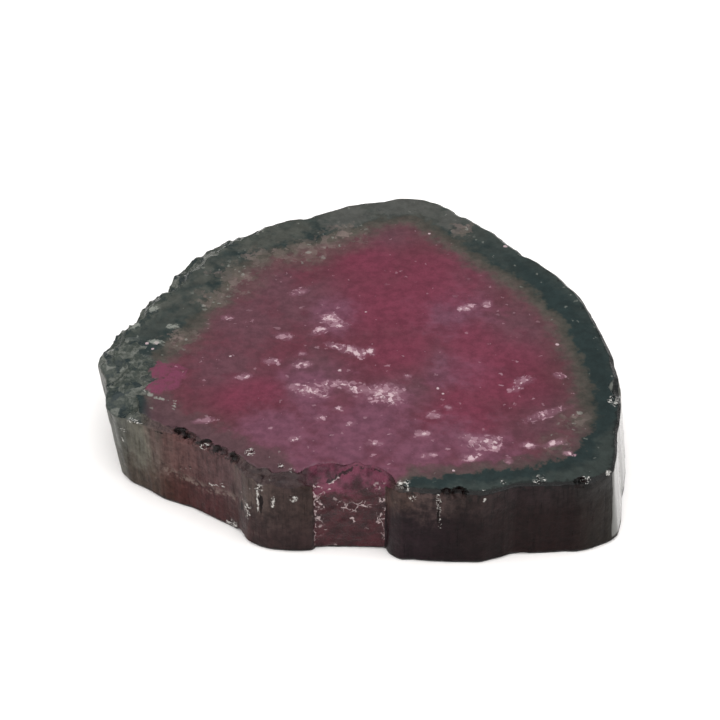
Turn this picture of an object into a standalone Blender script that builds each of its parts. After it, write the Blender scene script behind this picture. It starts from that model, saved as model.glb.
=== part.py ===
"""A slab sawn across a bicolour tourmaline crystal: one solid, in metres, +Z up.

The section is a rounded three-sided prism. +X runs along its long front side and +Y points to its back corner,
the crown. The origin is the middle of the lower sawn face's bounding box, so the slab rests on Z = 0.
All the dimensions below are millimetres.
"""

import bmesh
import bpy
import numpy as np

MM = 0.001
NAME = "tourmaline_slab"

# The two sawn faces: the lower one is level and the upper one falls a little towards +X.
THICKNESS = 5.2
WEDGE_PER_MM = 0.013

# Corners of the prism's section at the upper face, anticlockwise seen from above. Each is x, y, and then the
# broken rim there: how far it is set in towards the middle, and how far it drops below the upper face.
LEFT_END = [
    (-14.75, -2.3, 0.9, 0.6),
    (-14.1, -3.6, 1.3, 0.5),
    (-13.85, -4.8, 1.6, 0.5),
    (-13.9, -6.0, 1.6, 0.5),
    (-13.4, -6.7, 1.2, 0.45),
]
FRONT_LEFT_FACE = [
    (-12.3, -7.25, 0.6, 0.4),
    (-11.3, -7.8, 0.35, 0.3),
    (-10.3, -8.3, 0.25, 0.2),
    (-9.2, -8.85, 0.25, 0.2),
    (-8.2, -9.5, 0.2, 0.2),
    (-7.2, -10.15, 0.3, 0.25),
    (-6.6, -10.6, 0.4, 0.35),
]
LEFT_LOBE = [
    (-6.15, -11.25, 0.5, 0.45),
    (-5.6, -11.65, 0.6, 0.55),
    (-4.9, -11.9, 0.65, 0.6),
    (-3.8, -12.0, 0.6, 0.6),
    (-2.85, -11.97, 0.5, 0.5),
]
NOTCH = [
    (-2.7, -11.72, 0.8, 0.9),
    (-2.0, -11.7, 1.0, 0.95),
    (-0.2, -11.72, 1.0, 0.9),
    (1.1, -11.75, 0.5, 0.6),
]
RIGHT_LOBE = [
    (1.3, -12.25, 0.3, 0.3),
    (1.85, -12.65, 0.2, 0.2),
    (3.6, -12.82, 0.15, 0.15),
    (6.1, -12.82, 0.15, 0.15),
    (6.9, -12.55, 0.12, 0.12),
    (7.7, -12.28, 0.12, 0.12),
    (9.5, -12.17, 0.12, 0.12),
    (10.8, -12.08, 0.12, 0.12),
    (11.7, -11.85, 0.15, 0.15),
]
RIGHT_END = [
    (12.5, -11.42, 0.15, 0.15),
    (12.9, -11.0, 0.12, 0.12),
    (13.12, -9.9, 0.1, 0.1),
    (13.27, -8.7, 0.1, 0.1),
    (13.43, -7.2, 0.1, 0.1),
    (13.68, -5.9, 0.15, 0.12),
    (13.8, -4.6, 0.3, 0.2),
    (13.72, -3.1, 0.25, 0.2),
]
BACK_RIGHT_FACE = [
    (13.5, -1.3, 0.15, 0.12),
    (13.15, 0.3, 0.12, 0.12),
    (12.6, 2.1, 0.12, 0.12),
    (12.05, 3.7, 0.15, 0.12),
    (11.25, 5.0, 0.12, 0.12),
    (10.4, 6.15, 0.12, 0.12),
    (9.5, 7.15, 0.15, 0.12),
    (8.6, 8.1, 0.2, 0.15),
    (7.75, 9.1, 0.2, 0.15),
    (6.85, 10.15, 0.2, 0.15),
]
CROWN = [
    (5.9, 11.05, 0.2, 0.15),
    (5.0, 11.85, 0.2, 0.15),
    (4.1, 12.45, 0.2, 0.15),
    (3.1, 12.75, 0.2, 0.2),
    (2.15, 12.82, 0.2, 0.2),
    (1.2, 12.5, 0.2, 0.2),
    (0.2, 12.3, 0.2, 0.2),
]
BACK_LEFT_FACE = [
    (-1.0, 11.95, 0.15, 0.15),
    (-2.15, 11.35, 0.15, 0.15),
    (-3.1, 10.95, 0.2, 0.15),
    (-4.05, 10.7, 0.2, 0.15),
    (-5.0, 10.3, 0.2, 0.2),
    (-5.9, 9.8, 0.3, 0.25),
    (-6.9, 9.4, 0.5, 0.35),
    (-8.0, 8.75, 0.8, 0.5),
    (-9.2, 8.05, 1.1, 0.65),
    (-10.2, 7.0, 1.2, 0.75),
    (-10.95, 5.95, 1.1, 0.8),
    (-11.25, 5.2, 0.9, 0.8),
    (-11.3, 4.55, 0.9, 0.85),
    (-12.2, 3.7, 1.0, 0.85),
    (-12.65, 2.4, 0.8, 0.7),
    (-12.95, 1.5, 0.5, 0.6),
    (-13.75, 0.3, 0.7, 0.6),
    (-14.45, -1.3, 0.9, 0.6),
]
CORNERS = (
    LEFT_END + FRONT_LEFT_FACE + LEFT_LOBE + NOTCH + RIGHT_LOBE
    + RIGHT_END + BACK_RIGHT_FACE + CROWN + BACK_LEFT_FACE
)
MIDDLE = (0.0, -0.8)

# Going down, both ends of the prism shift towards +X: the left end leans in and the right end leans out.
LEAN_FROM_X = 10.5
LEAN_OVER = 3.0
LEFT_LEAN = 0.6
RIGHT_LEAN = 0.66

# Growth ridges run up the natural faces, and none cross the break in the notch. Easing rounds the corners and
# pulls the outline in by about the loss, which is given back.
RIDGE_PITCH = 1.1
RIDGE_DEPTH = 0.07
RIDGE_SEED = 11
CORNER_EASE = 0.13
EASE_LOSS = 0.08

# The mesh: columns round the outline, and levels up the wall as shares of its height.
COLUMNS = 340
LEVELS = (0.35, 0.7)
FOOT_WEAR = 0.1
FOOT_RISE = 0.18

# Shell-shaped chips out of the upper rim: x and y near the rim, the radius of the ball that takes the chip, and
# how deep it bites below the rim's slope.
RIM_CHIPS = [
    (-13.6, -6.2, 2.2, 0.22),
    (-14.3, -3.4, 1.6, 0.3),
    (-14.2, -0.9, 1.5, 0.22),
    (-13.0, 1.3, 1.7, 0.32),
    (-12.2, 3.2, 1.3, 0.2),
    (-11.2, 4.9, 1.4, 0.3),
    (-10.6, 6.6, 2.0, 0.25),
    (-8.9, 8.2, 2.2, 0.22),
    (-7.0, 9.4, 1.6, 0.22),
    (-3.4, 10.8, 1.3, 0.14),
    (-1.9, -11.7, 2.4, 0.16),
    (0.1, -11.7, 1.8, 0.12),
    (1.9, -12.65, 0.9, 0.12),
    (13.85, -4.5, 1.5, 0.22),
    (9.2, 7.5, 0.9, 0.14),
    (5.6, 11.4, 1.1, 0.12),
]
# Chips out of the lower rim: x, y, z of the ball's centre and its radius.
FOOT_CHIPS = [
    (-6.8, -10.85, -0.25, 0.6),
    (8.4, -12.85, -0.6, 0.95),
    (4.3, 13.1, -0.6, 1.0),
    (-12.6, 3.6, -0.75, 1.2),
]
# Small pits along the front rim: x, y, z and radius.
PITS = [
    (-9.75, -8.5, 5.2, 0.42),
    (-9.25, -8.75, 5.15, 0.34),
    (-8.35, -9.3, 5.2, 0.32),
    (-7.5, -9.9, 5.2, 0.3),
    (-6.85, -10.35, 5.15, 0.28),
    (4.2, -12.85, 5.0, 0.3),
    (4.85, -12.85, 5.0, 0.38),
    (11.1, -12.0, 4.95, 0.28),
]
CHIP_SEGMENTS = 16
CHIP_RINGS = 11
PIT_SEGMENTS = 10
PIT_RINGS = 7

BODY_COLOUR = (0.17, 0.05, 0.075, 1.0)
BODY_ROUGHNESS = 0.42


def resampled(corners, count):
    """Rows of the corner table at count places, evenly spaced along the closed polygon, and its length."""
    table = np.array(corners + corners[:1], float)
    steps = np.hypot(*np.diff(table[:, :2], axis=0).T)
    along = np.concatenate([[0.0], np.cumsum(steps)])
    places = np.arange(count) * along[-1] / count
    return np.stack([np.interp(places, along, column) for column in table.T], axis=1), along[-1]


def eased(rows, length, radius):
    """Each closed column averaged along the outline under a bell curve of that radius."""
    count = len(rows)
    steps = np.minimum(np.arange(count), count - np.arange(count))
    bell = np.exp(-0.5 * (steps * length / count / radius) ** 2)
    weights = np.fft.rfft(bell / bell.sum())
    return np.fft.irfft(np.fft.rfft(rows, axis=0) * weights[:, None], n=count, axis=0)


def outward(points):
    """Unit normals of a closed anticlockwise outline, pointing out."""
    along = np.roll(points, -1, axis=0) - np.roll(points, 1, axis=0)
    normals = np.stack([along[:, 1], -along[:, 0]], axis=1)
    return normals / np.linalg.norm(normals, axis=1, keepdims=True)


def ridges(count, length, pitch, depth, seed):
    """Heights of the growth ridges: straight slopes between random crests and grooves about pitch apart."""
    rng = np.random.default_rng(seed)
    knots = int(length / pitch)
    places = (np.arange(knots) + rng.uniform(-0.35, 0.35, knots)) * length / knots
    heights = rng.uniform(-depth, depth, knots)
    places = np.concatenate([places - length, places, places + length])
    return np.interp(np.arange(count) * length / count, places, np.tile(heights, 3))


def lean_at(x):
    """How far the foot of the wall is shifted towards +X below a point of the upper outline."""
    left = np.clip((-x - LEAN_FROM_X) / LEAN_OVER, 0, 1)
    right = np.clip((x - LEAN_FROM_X) / LEAN_OVER, 0, 1)
    return LEFT_LEAN * left**2 * (3 - 2 * left) + RIGHT_LEAN * right**2 * (3 - 2 * right)


def in_notch(points):
    """1 on the broken wall of the notch, 0 elsewhere."""
    first, last = NOTCH[0], NOTCH[-1]
    inside = (points[:, 0] > first[0]) & (points[:, 0] < last[0]) & (points[:, 1] < first[1] + 0.4)
    return inside.astype(float)


def section():
    """The ridged outline at the upper face, and the inset and drop of the rim at each of its points."""
    rows, length = resampled(CORNERS, COLUMNS)
    rows = eased(rows, length, CORNER_EASE)
    points = rows[:, :2]
    height = ridges(COLUMNS, length, RIDGE_PITCH, RIDGE_DEPTH, RIDGE_SEED)
    points = points + outward(points) * (EASE_LOSS + height * (1 - in_notch(points)))[:, None]
    return points, rows[:, 2], rows[:, 3]


def pulled_in(points, distance):
    """Outline points moved that far towards the middle of the slab."""
    inward = np.array(MIDDLE) - points
    return points + inward * (distance / np.linalg.norm(inward, axis=1))[:, None]


def top_height(x):
    """Height of the upper sawn face, a plane that falls towards +X."""
    return THICKNESS - WEDGE_PER_MM * x


def slab_rings():
    """Closed rings of points from the edge of the lower face, up the wall, to the edge of the upper face."""
    upper, inset, drop = section()
    lower = upper + np.stack([lean_at(upper[:, 0]), np.zeros(COLUMNS)], axis=1)
    shoulder = top_height(upper[:, 0]) - drop
    worn_foot = pulled_in(lower, np.full(COLUMNS, FOOT_WEAR))
    rings = [np.column_stack([worn_foot, np.zeros(COLUMNS)])]
    for height in [np.full(COLUMNS, FOOT_RISE), *(shoulder * share for share in LEVELS), shoulder]:
        share = (height / THICKNESS)[:, None]
        rings.append(np.column_stack([lower * (1 - share) + upper * share, height]))
    rim = pulled_in(upper, inset)
    rings.append(np.column_stack([rim, top_height(rim[:, 0])]))
    return rings


def centred(rings):
    """The rings moved so that their bounding box is centred on the Z axis."""
    points = np.concatenate(rings)
    middle = (points.min(axis=0) + points.max(axis=0)) / 2
    shift = np.array([middle[0], middle[1], 0.0])
    return [ring - shift for ring in rings], shift


def slab_blank(rings, collection):
    """The slab before it is chipped: rings joined by a wall of quads, with a flat face at each end."""
    mesh = bmesh.new()
    loops = [[mesh.verts.new(point * MM) for point in ring] for ring in rings]
    for below, above in zip(loops[:-1], loops[1:]):
        for k in range(COLUMNS):
            n = (k + 1) % COLUMNS
            mesh.faces.new([below[k], below[n], above[n], above[k]])
    mesh.faces.new(list(reversed(loops[0])))
    mesh.faces.new(loops[-1])
    return as_object(NAME, mesh, collection)


def chip_place(x, y, radius, bite, rings):
    """Centre of the ball that bites that deep into the slope between the last two rings nearest to x and y."""
    shoulder, rim = rings[-2], rings[-1]
    k = np.argmin(np.hypot(shoulder[:, 0] - x, shoulder[:, 1] - y))
    side = outward(shoulder[:, :2])[k]
    inset = np.linalg.norm(shoulder[k, :2] - rim[k, :2])
    drop = rim[k, 2] - shoulder[k, 2]
    normal = np.array([side[0] * drop, side[1] * drop, inset]) / np.hypot(inset, drop)
    return (shoulder[k] + rim[k]) / 2 + normal * (radius - bite)


def ball(name, place, radius, segments, rings, collection):
    """A ball that will be cut out of the slab. It isn't rendered."""
    mesh = bmesh.new()
    bmesh.ops.create_uvsphere(mesh, u_segments=segments, v_segments=rings, radius=radius * MM)
    cutter = as_object(name, mesh, collection)
    cutter.location = place * MM
    cutter.rotation_euler = (0.5 * place[0], 0.7 * place[1], 0.3 * place[0])
    cutter.hide_render = True
    cutter.display_type = "WIRE"
    return cutter


def as_object(name, mesh, collection):
    data = bpy.data.meshes.new(name)
    mesh.to_mesh(data)
    mesh.free()
    made = bpy.data.objects.new(name, data)
    collection.objects.link(made)
    return made


def cut(target, cutter):
    modifier = target.modifiers.new(cutter.name, "BOOLEAN")
    modifier.operation = "DIFFERENCE"
    modifier.solver = "EXACT"
    modifier.object = cutter


def tourmaline():
    material = bpy.data.materials.new("tourmaline")
    material.use_nodes = True
    shader = material.node_tree.nodes["Principled BSDF"]
    shader.inputs["Base Color"].default_value = BODY_COLOUR
    shader.inputs["Roughness"].default_value = BODY_ROUGHNESS
    shader.inputs["Metallic"].default_value = 0.0
    material.diffuse_color = BODY_COLOUR
    return material


def new_collection(name):
    made = bpy.data.collections.new(name)
    bpy.context.scene.collection.children.link(made)
    return made


def main():
    for old in list(bpy.data.objects):
        bpy.data.objects.remove(old)
    parts = new_collection("tourmaline slab")
    cutters = new_collection("cutters")
    rings, shift = centred(slab_rings())
    slab = slab_blank(rings, parts)
    slab.data.materials.append(tourmaline())
    for k, (x, y, radius, bite) in enumerate(RIM_CHIPS):
        place = chip_place(x - shift[0], y - shift[1], radius, bite, rings)
        cut(slab, ball(f"rim_chip_{k}", place, radius, CHIP_SEGMENTS, CHIP_RINGS, cutters))
    for k, (x, y, z, radius) in enumerate(FOOT_CHIPS):
        place = np.array([x, y, z]) - shift
        cut(slab, ball(f"foot_chip_{k}", place, radius, CHIP_SEGMENTS, CHIP_RINGS, cutters))
    for k, (x, y, z, radius) in enumerate(PITS):
        place = np.array([x, y, z]) - shift
        cut(slab, ball(f"pit_{k}", place, radius, PIT_SEGMENTS, PIT_RINGS, cutters))


main()
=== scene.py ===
"""The looks of a slab sawn across a bicolour tourmaline crystal.

The slab is one closed surface on a grid. Its columns run round the crystal's outline. Its rows run from
the middle of the lower sawn face out to the foot, up the ridged wall, over the broken rim and back to the
middle of the upper sawn face. Shapes and patterns are worked out in millimetres, and the mesh is written in
metres.
"""
from functools import reduce

import bpy
import numpy as np
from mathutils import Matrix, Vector


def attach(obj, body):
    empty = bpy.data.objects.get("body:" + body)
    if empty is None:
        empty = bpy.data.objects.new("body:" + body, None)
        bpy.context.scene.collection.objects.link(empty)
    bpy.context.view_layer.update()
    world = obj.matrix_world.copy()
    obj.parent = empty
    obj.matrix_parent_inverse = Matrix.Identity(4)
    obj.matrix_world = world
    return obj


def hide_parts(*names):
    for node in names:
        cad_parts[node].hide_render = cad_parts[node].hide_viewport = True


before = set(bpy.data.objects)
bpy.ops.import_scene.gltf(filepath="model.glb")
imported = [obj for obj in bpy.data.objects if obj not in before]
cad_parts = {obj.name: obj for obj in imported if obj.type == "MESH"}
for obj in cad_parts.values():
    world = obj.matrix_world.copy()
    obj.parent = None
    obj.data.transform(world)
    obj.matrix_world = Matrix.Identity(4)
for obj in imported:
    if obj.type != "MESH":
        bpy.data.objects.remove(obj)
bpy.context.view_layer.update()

MM = 0.001
SLAB = "tourmaline_slab"
SURFACE = "tourmaline_slab_surface"

# ---------------------------------------------------------------- the crystal's form, as the solid has it

# Thickness at the middle, and how fast the slab thins towards +X.
THICKNESS = 5.2
WEDGE_PER_MM = 0.013

# Corners of the prism's section at the upper face, anticlockwise seen from above. Each is x, y, and then the
# broken rim there: how far it is set in towards the middle, and how far it drops below the upper face.
LEFT_END = [
    (-14.75, -2.3, 0.9, 0.6), (-14.1, -3.6, 1.3, 0.5), (-13.85, -4.8, 1.6, 0.5), (-13.9, -6.0, 1.6, 0.5),
    (-13.4, -6.7, 1.2, 0.45),
]
FRONT_LEFT_FACE = [
    (-12.3, -7.25, 0.6, 0.4), (-11.3, -7.8, 0.35, 0.3), (-10.3, -8.3, 0.25, 0.2), (-9.2, -8.85, 0.25, 0.2),
    (-8.2, -9.5, 0.2, 0.2), (-7.2, -10.15, 0.3, 0.25), (-6.6, -10.6, 0.4, 0.35),
]
LEFT_LOBE = [
    (-6.15, -11.25, 0.5, 0.45), (-5.6, -11.65, 0.6, 0.55), (-4.9, -11.9, 0.65, 0.6),
    (-3.8, -12.0, 0.6, 0.6), (-2.85, -11.97, 0.5, 0.5),
]
NOTCH = [
    (-2.7, -11.72, 0.8, 0.9), (-2.0, -11.7, 1.0, 0.95), (-0.2, -11.72, 1.0, 0.9), (1.1, -11.75, 0.5, 0.6),
]
RIGHT_LOBE = [
    (1.3, -12.25, 0.3, 0.3), (1.85, -12.65, 0.2, 0.2), (3.6, -12.82, 0.15, 0.15), (6.1, -12.82, 0.15, 0.15),
    (6.9, -12.55, 0.12, 0.12), (7.7, -12.28, 0.12, 0.12), (9.5, -12.17, 0.12, 0.12),
    (10.8, -12.08, 0.12, 0.12), (11.7, -11.85, 0.15, 0.15),
]
RIGHT_END = [
    (12.5, -11.42, 0.15, 0.15), (12.9, -11.0, 0.12, 0.12), (13.12, -9.9, 0.1, 0.1), (13.27, -8.7, 0.1, 0.1),
    (13.43, -7.2, 0.1, 0.1), (13.68, -5.9, 0.15, 0.12), (13.8, -4.6, 0.3, 0.2), (13.72, -3.1, 0.25, 0.2),
]
BACK_RIGHT_FACE = [
    (13.5, -1.3, 0.15, 0.12), (13.15, 0.3, 0.12, 0.12), (12.6, 2.1, 0.12, 0.12), (12.05, 3.7, 0.15, 0.12),
    (11.25, 5.0, 0.12, 0.12), (10.4, 6.15, 0.12, 0.12), (9.5, 7.15, 0.15, 0.12), (8.6, 8.1, 0.2, 0.15),
    (7.75, 9.1, 0.2, 0.15), (6.85, 10.15, 0.2, 0.15),
]
CROWN = [
    (5.9, 11.05, 0.2, 0.15), (5.0, 11.85, 0.2, 0.15), (4.1, 12.45, 0.2, 0.15), (3.1, 12.75, 0.2, 0.2),
    (2.15, 12.82, 0.2, 0.2), (1.2, 12.5, 0.2, 0.2), (0.2, 12.3, 0.2, 0.2),
]
BACK_LEFT_FACE = [
    (-1.0, 11.95, 0.15, 0.15), (-2.15, 11.35, 0.15, 0.15), (-3.1, 10.95, 0.2, 0.15),
    (-4.05, 10.7, 0.2, 0.15), (-5.0, 10.3, 0.2, 0.2), (-5.9, 9.8, 0.3, 0.25), (-6.9, 9.4, 0.5, 0.35),
    (-8.0, 8.75, 0.8, 0.5), (-9.2, 8.05, 1.1, 0.65), (-10.2, 7.0, 1.2, 0.75), (-10.95, 5.95, 1.1, 0.8),
    (-11.25, 5.2, 0.9, 0.8), (-11.3, 4.55, 0.9, 0.85), (-12.2, 3.7, 1.0, 0.85), (-12.65, 2.4, 0.8, 0.7),
    (-12.95, 1.5, 0.5, 0.6), (-13.75, 0.3, 0.7, 0.6), (-14.45, -1.3, 0.9, 0.6),
]
CORNERS = (
    LEFT_END + FRONT_LEFT_FACE + LEFT_LOBE + NOTCH + RIGHT_LOBE
    + RIGHT_END + BACK_RIGHT_FACE + CROWN + BACK_LEFT_FACE
)
MIDDLE = np.array([0.0, -0.8])
# The notch's broken wall lies this far behind its first corner at most.
NOTCH_DEEP = 0.4

# Going down, the left end leans in and the right end leans out, both towards +X.
LEAN_FROM_X = 10.5
LEAN_OVER = 3.0
LEFT_LEAN = 0.6
RIGHT_LEAN = 0.66

# The growth ridges that the solid has. The finer streaks between them are in STREAK_CELLS.
RIDGE_PITCH = 1.1
RIDGE_DEPTH = 0.07
RIDGE_SEED = 11
# Radius of the easing of the section's corners, and how far the eased outline is set out again.
CORNER_EASE = 0.13
EASE_LOSS = 0.08
# The worn foot edge: how far it is set in, and how high its slope reaches.
FOOT_WEAR = 0.1
FOOT_RISE = 0.18

# Shell-shaped chips out of the upper rim: x and y near the rim, the ball's radius, and its bite into the
# slope.
RIM_CHIPS = [
    (-13.6, -6.2, 2.2, 0.22), (-14.3, -3.4, 1.6, 0.3), (-14.2, -0.9, 1.5, 0.22), (-13.0, 1.3, 1.7, 0.32),
    (-12.2, 3.2, 1.3, 0.2), (-11.2, 4.9, 1.4, 0.3), (-10.6, 6.6, 2.0, 0.25), (-8.9, 8.2, 2.2, 0.22),
    (-7.0, 9.4, 1.6, 0.22), (-3.4, 10.8, 1.3, 0.14), (-1.9, -11.7, 2.4, 0.16), (0.1, -11.7, 1.8, 0.12),
    (1.9, -12.65, 0.9, 0.12), (13.85, -4.5, 1.5, 0.22), (9.2, 7.5, 0.9, 0.14), (5.6, 11.4, 1.1, 0.12),
]
# Chips out of the lower rim and pits along the front rim: x, y, z of the ball's centre and its radius. Each
# ball cuts inwards, and this steeply down or up.
FOOT_CHIPS = [
    (-6.8, -10.85, -0.25, 0.6), (8.4, -12.85, -0.6, 0.95), (4.3, 13.1, -0.6, 1.0), (-12.6, 3.6, -0.75, 1.2),
]
PITS = [
    (-9.75, -8.5, 5.2, 0.42), (-9.25, -8.75, 5.15, 0.34), (-8.35, -9.3, 5.2, 0.32), (-7.5, -9.9, 5.2, 0.3),
    (-6.85, -10.35, 5.15, 0.28), (4.2, -12.85, 5.0, 0.3), (4.85, -12.85, 5.0, 0.38),
    (11.1, -12.0, 4.95, 0.28),
]
BALL_TILT = 0.55

# The boundary of the pink core, anticlockwise from its left tip.
CORE = [
    (-11.7, -4.3), (-10.9, -5.8), (-9.1, -7.2), (-7.0, -8.7), (-5.0, -9.9), (-2.9, -10.9), (-1.2, -11.7),
    (0.6, -11.7), (2.2, -11.4), (4.4, -11.3), (7.0, -10.85), (9.5, -10.3), (10.9, -9.4), (11.5, -7.7),
    (11.8, -5.4), (11.5, -2.7), (10.9, 0.2), (9.8, 2.7), (8.1, 4.9), (6.0, 7.1), (4.2, 9.2), (2.8, 10.45),
    (1.4, 10.4), (-0.2, 9.4), (-2.6, 8.2), (-5.4, 6.9), (-7.0, 5.3), (-8.3, 2.6), (-9.6, 0.1),
    (-11.2, -2.6),
]

# The grid: how many columns go round, how many rows each stretch of the surface has, the share of the way out
# at which a face's rows start, and how strongly the upper face's rows crowd towards its rim.
COLUMNS = 720
LOWER_ROWS = 12
FOOT_ROWS = 3
WALL_ROWS = 44
SLOPE_ROWS = 9
UPPER_ROWS = 56
POLE_SHARE = 0.05
ROW_CROWDING = 1.35


def resampled(corners, count):
    """Rows of the corner table at count places, evenly spaced along the closed polygon, and its length."""
    table = np.array(corners + corners[:1], float)
    steps = np.hypot(*np.diff(table[:, :2], axis=0).T)
    along = np.concatenate([[0.0], np.cumsum(steps)])
    places = np.arange(count) * along[-1] / count
    return np.stack([np.interp(places, along, column) for column in table.T], axis=1), along[-1]


def eased(rows, length, radius):
    """Each closed column averaged along the outline under a bell curve of that radius."""
    count = len(rows)
    steps = np.minimum(np.arange(count), count - np.arange(count))
    bell = np.exp(-0.5 * (steps * length / count / radius) ** 2)
    weights = np.fft.rfft(bell / bell.sum())
    return np.fft.irfft(np.fft.rfft(rows, axis=0) * weights[:, None], n=count, axis=0)


def outward(points):
    """Unit normals of a closed anticlockwise outline, pointing out."""
    along = np.roll(points, -1, axis=0) - np.roll(points, 1, axis=0)
    normals = np.stack([along[:, 1], -along[:, 0]], axis=1)
    return normals / np.linalg.norm(normals, axis=1, keepdims=True)


def ridges(count, length, pitch, depth, seed):
    """Heights of the growth ridges: straight slopes between random crests and grooves about pitch apart."""
    rng = np.random.default_rng(seed)
    knots = int(length / pitch)
    places = (np.arange(knots) + rng.uniform(-0.35, 0.35, knots)) * length / knots
    heights = rng.uniform(-depth, depth, knots)
    places = np.concatenate([places - length, places, places + length])
    return np.interp(np.arange(count) * length / count, places, np.tile(heights, 3))


def smooth_share(value, low, high):
    """0 at low, 1 at high, eased between them. Low may be above high."""
    share = np.clip((value - low) / (high - low), 0, 1)
    return share * share * (3 - 2 * share)


def lean_at(x):
    """How far the foot of the wall is shifted towards +X below a point of the upper outline."""
    left = smooth_share(-x, LEAN_FROM_X, LEAN_FROM_X + LEAN_OVER)
    right = smooth_share(x, LEAN_FROM_X, LEAN_FROM_X + LEAN_OVER)
    return LEFT_LEAN * left + RIGHT_LEAN * right


def in_notch(points):
    """1 on the broken wall of the notch, 0 elsewhere."""
    x, y = points.T
    first, last = NOTCH[0], NOTCH[-1]
    return ((x > first[0]) & (x < last[0]) & (y < first[1] + NOTCH_DEEP)).astype(float)


def section():
    """The ridged outline at the upper face, and the inset and drop of the rim at each of its points."""
    rows, length = resampled(CORNERS, COLUMNS)
    rows = eased(rows, length, CORNER_EASE)
    points = rows[:, :2]
    height = ridges(COLUMNS, length, RIDGE_PITCH, RIDGE_DEPTH, RIDGE_SEED)
    points = points + outward(points) * (EASE_LOSS + height * (1 - in_notch(points)))[:, None]
    return points, rows[:, 2], rows[:, 3]


def pulled_in(points, distance):
    """Outline points moved that far towards the middle of the slab."""
    inward = MIDDLE - points
    return points + inward * (distance / np.linalg.norm(inward, axis=1))[:, None]


def top_height(x):
    """Height of the upper sawn face, a plane that falls towards +X."""
    return THICKNESS - WEDGE_PER_MM * x


# ---------------------------------------------------------------- noise and relief

def lattice_noise(points, cell, seed, size=24):
    """Smooth noise from -1 to 1: random values on a box lattice of that cell, eased between its corners."""
    values = np.random.default_rng(seed).uniform(-1, 1, (size, size, size))
    place = points / np.asarray(cell, float)
    low = np.floor(place).astype(int)
    share = place - low
    share = share * share * (3 - 2 * share)
    height = np.zeros(points.shape[:-1])
    for corner in np.ndindex(2, 2, 2):
        weight = np.where(np.array(corner, bool), share, 1 - share).prod(axis=-1)
        index = (low + corner) % size
        height += weight * values[index[..., 0], index[..., 1], index[..., 2]]
    return height


def facets(points, cell, tilt, seed, size=16):
    """Relief of a broken crystal, about -1 to 1: each point has the height of a tilted plane at its own
    random seed, the nearest of one seed in each box of that cell."""
    rng = np.random.default_rng(seed)
    jitter = rng.uniform(0.05, 0.95, (size, size, size, 3))
    planes = rng.uniform(-1, 1, (size, size, size, 4))
    place = points / np.asarray(cell, float)
    low = np.floor(place).astype(int)
    nearest = np.full(points.shape[:-1], np.inf)
    height = np.zeros(points.shape[:-1])
    for step in np.ndindex(3, 3, 3):
        index = low + np.array(step) - 1
        wrapped = tuple(np.moveaxis(index % size, -1, 0))
        away = place - index - jitter[wrapped]
        distance = (away**2).sum(axis=-1)
        plane = planes[wrapped]
        here = plane[..., 3] * 0.5 + tilt * (plane[..., :3] * away).sum(axis=-1)
        height = np.where(distance < nearest, here, height)
        nearest = np.minimum(distance, nearest)
    return height


def carved(points, centre, radius, direction):
    """Points inside a ball, moved along one direction until they lie on its far side."""
    away = points - centre
    along = away @ direction
    inside = radius**2 - (away**2).sum(axis=-1)
    travel = np.where(inside > 0, -along + np.sqrt(np.maximum(along**2 + inside, 0)), 0.0)
    return points + travel[..., None] * direction


def between(low, high, shares):
    """Rows of points between two rings, at these shares of the way from the first to the second."""
    shares = np.asarray(shares)[:, None, None]
    return low * (1 - shares) + high * shares


def grid_normals(grid):
    """Outward unit normals: the way round the ring crossed with the way up the rows, by differences."""
    around = np.roll(grid, -1, axis=1) - np.roll(grid, 1, axis=1)
    across = np.gradient(grid, axis=0)
    normals = np.cross(around, across)
    return normals / np.maximum(np.linalg.norm(normals, axis=-1, keepdims=True), 1e-12)


def curve_distance(points, corners, smooth=8):
    """Signed distance in plan from a closed smooth curve through the corners, positive inside it.

    Between two corners the curve is the cubic through them whose slope at each is half the step between its
    neighbours. Each such stretch becomes as many straight sides as smooth says, and the distance is that to
    the nearest side. A point is inside if a line from it towards +X crosses an odd number of sides.
    """
    knots = np.array(corners, float)
    steps = np.arange(smooth)[None, :, None] / smooth
    before, here, after, beyond = (np.roll(knots, shift, axis=0)[:, None] for shift in (1, 0, -1, -2))
    curve = 0.5 * (
        2 * here
        + (after - before) * steps
        + (2 * before - 5 * here + 4 * after - beyond) * steps**2
        + (3 * here - before - 3 * after + beyond) * steps**3
    )
    curve = curve.reshape(-1, 2)
    nearest = np.full(points.shape[:-1], np.inf)
    inside = np.zeros(points.shape[:-1], bool)
    for start, end in zip(curve, np.roll(curve, -1, axis=0)):
        side = end - start
        away = points - start
        share = np.clip((away @ side) / (side @ side), 0, 1)
        nearest = np.minimum(nearest, np.linalg.norm(away - share[..., None] * side, axis=-1))
        crosses = (start[1] > points[..., 1]) != (end[1] > points[..., 1])
        height = (points[..., 1] - start[1]) / (side[1] if side[1] else 1e-12)
        inside ^= crosses & (points[..., 0] < start[0] + height * side[0])
    return np.where(inside, nearest, -nearest)


# ---------------------------------------------------------------- the slab's surface

# Relief of the grown wall: cells and depths of its streaks, and of its small dents.
STREAK_CELLS = [((0.16, 0.16, 3.0), 0.006), ((0.34, 0.34, 4.5), 0.014), ((0.8, 0.8, 7.0), 0.022)]
STREAK_SEED = 21
WALL_DENT_CELL = (0.55, 0.55, 0.5)
WALL_DENT_DEPTH = 0.012
WALL_DENT_SEED = 41
# Relief of the breaks: a patchwork of tilted planes and smaller splinters, weaker by a share in the notch.
BREAK_CELL = (0.62, 0.62, 0.55)
BREAK_DEPTH = 0.10
BREAK_TILT = 0.9
BREAK_SEED = 51
SPLINTER_CELL = (0.26, 0.26, 0.22)
SPLINTER_DEPTH = 0.03
SPLINTER_SEED = 52
NOTCH_EASE = 0.35
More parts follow.
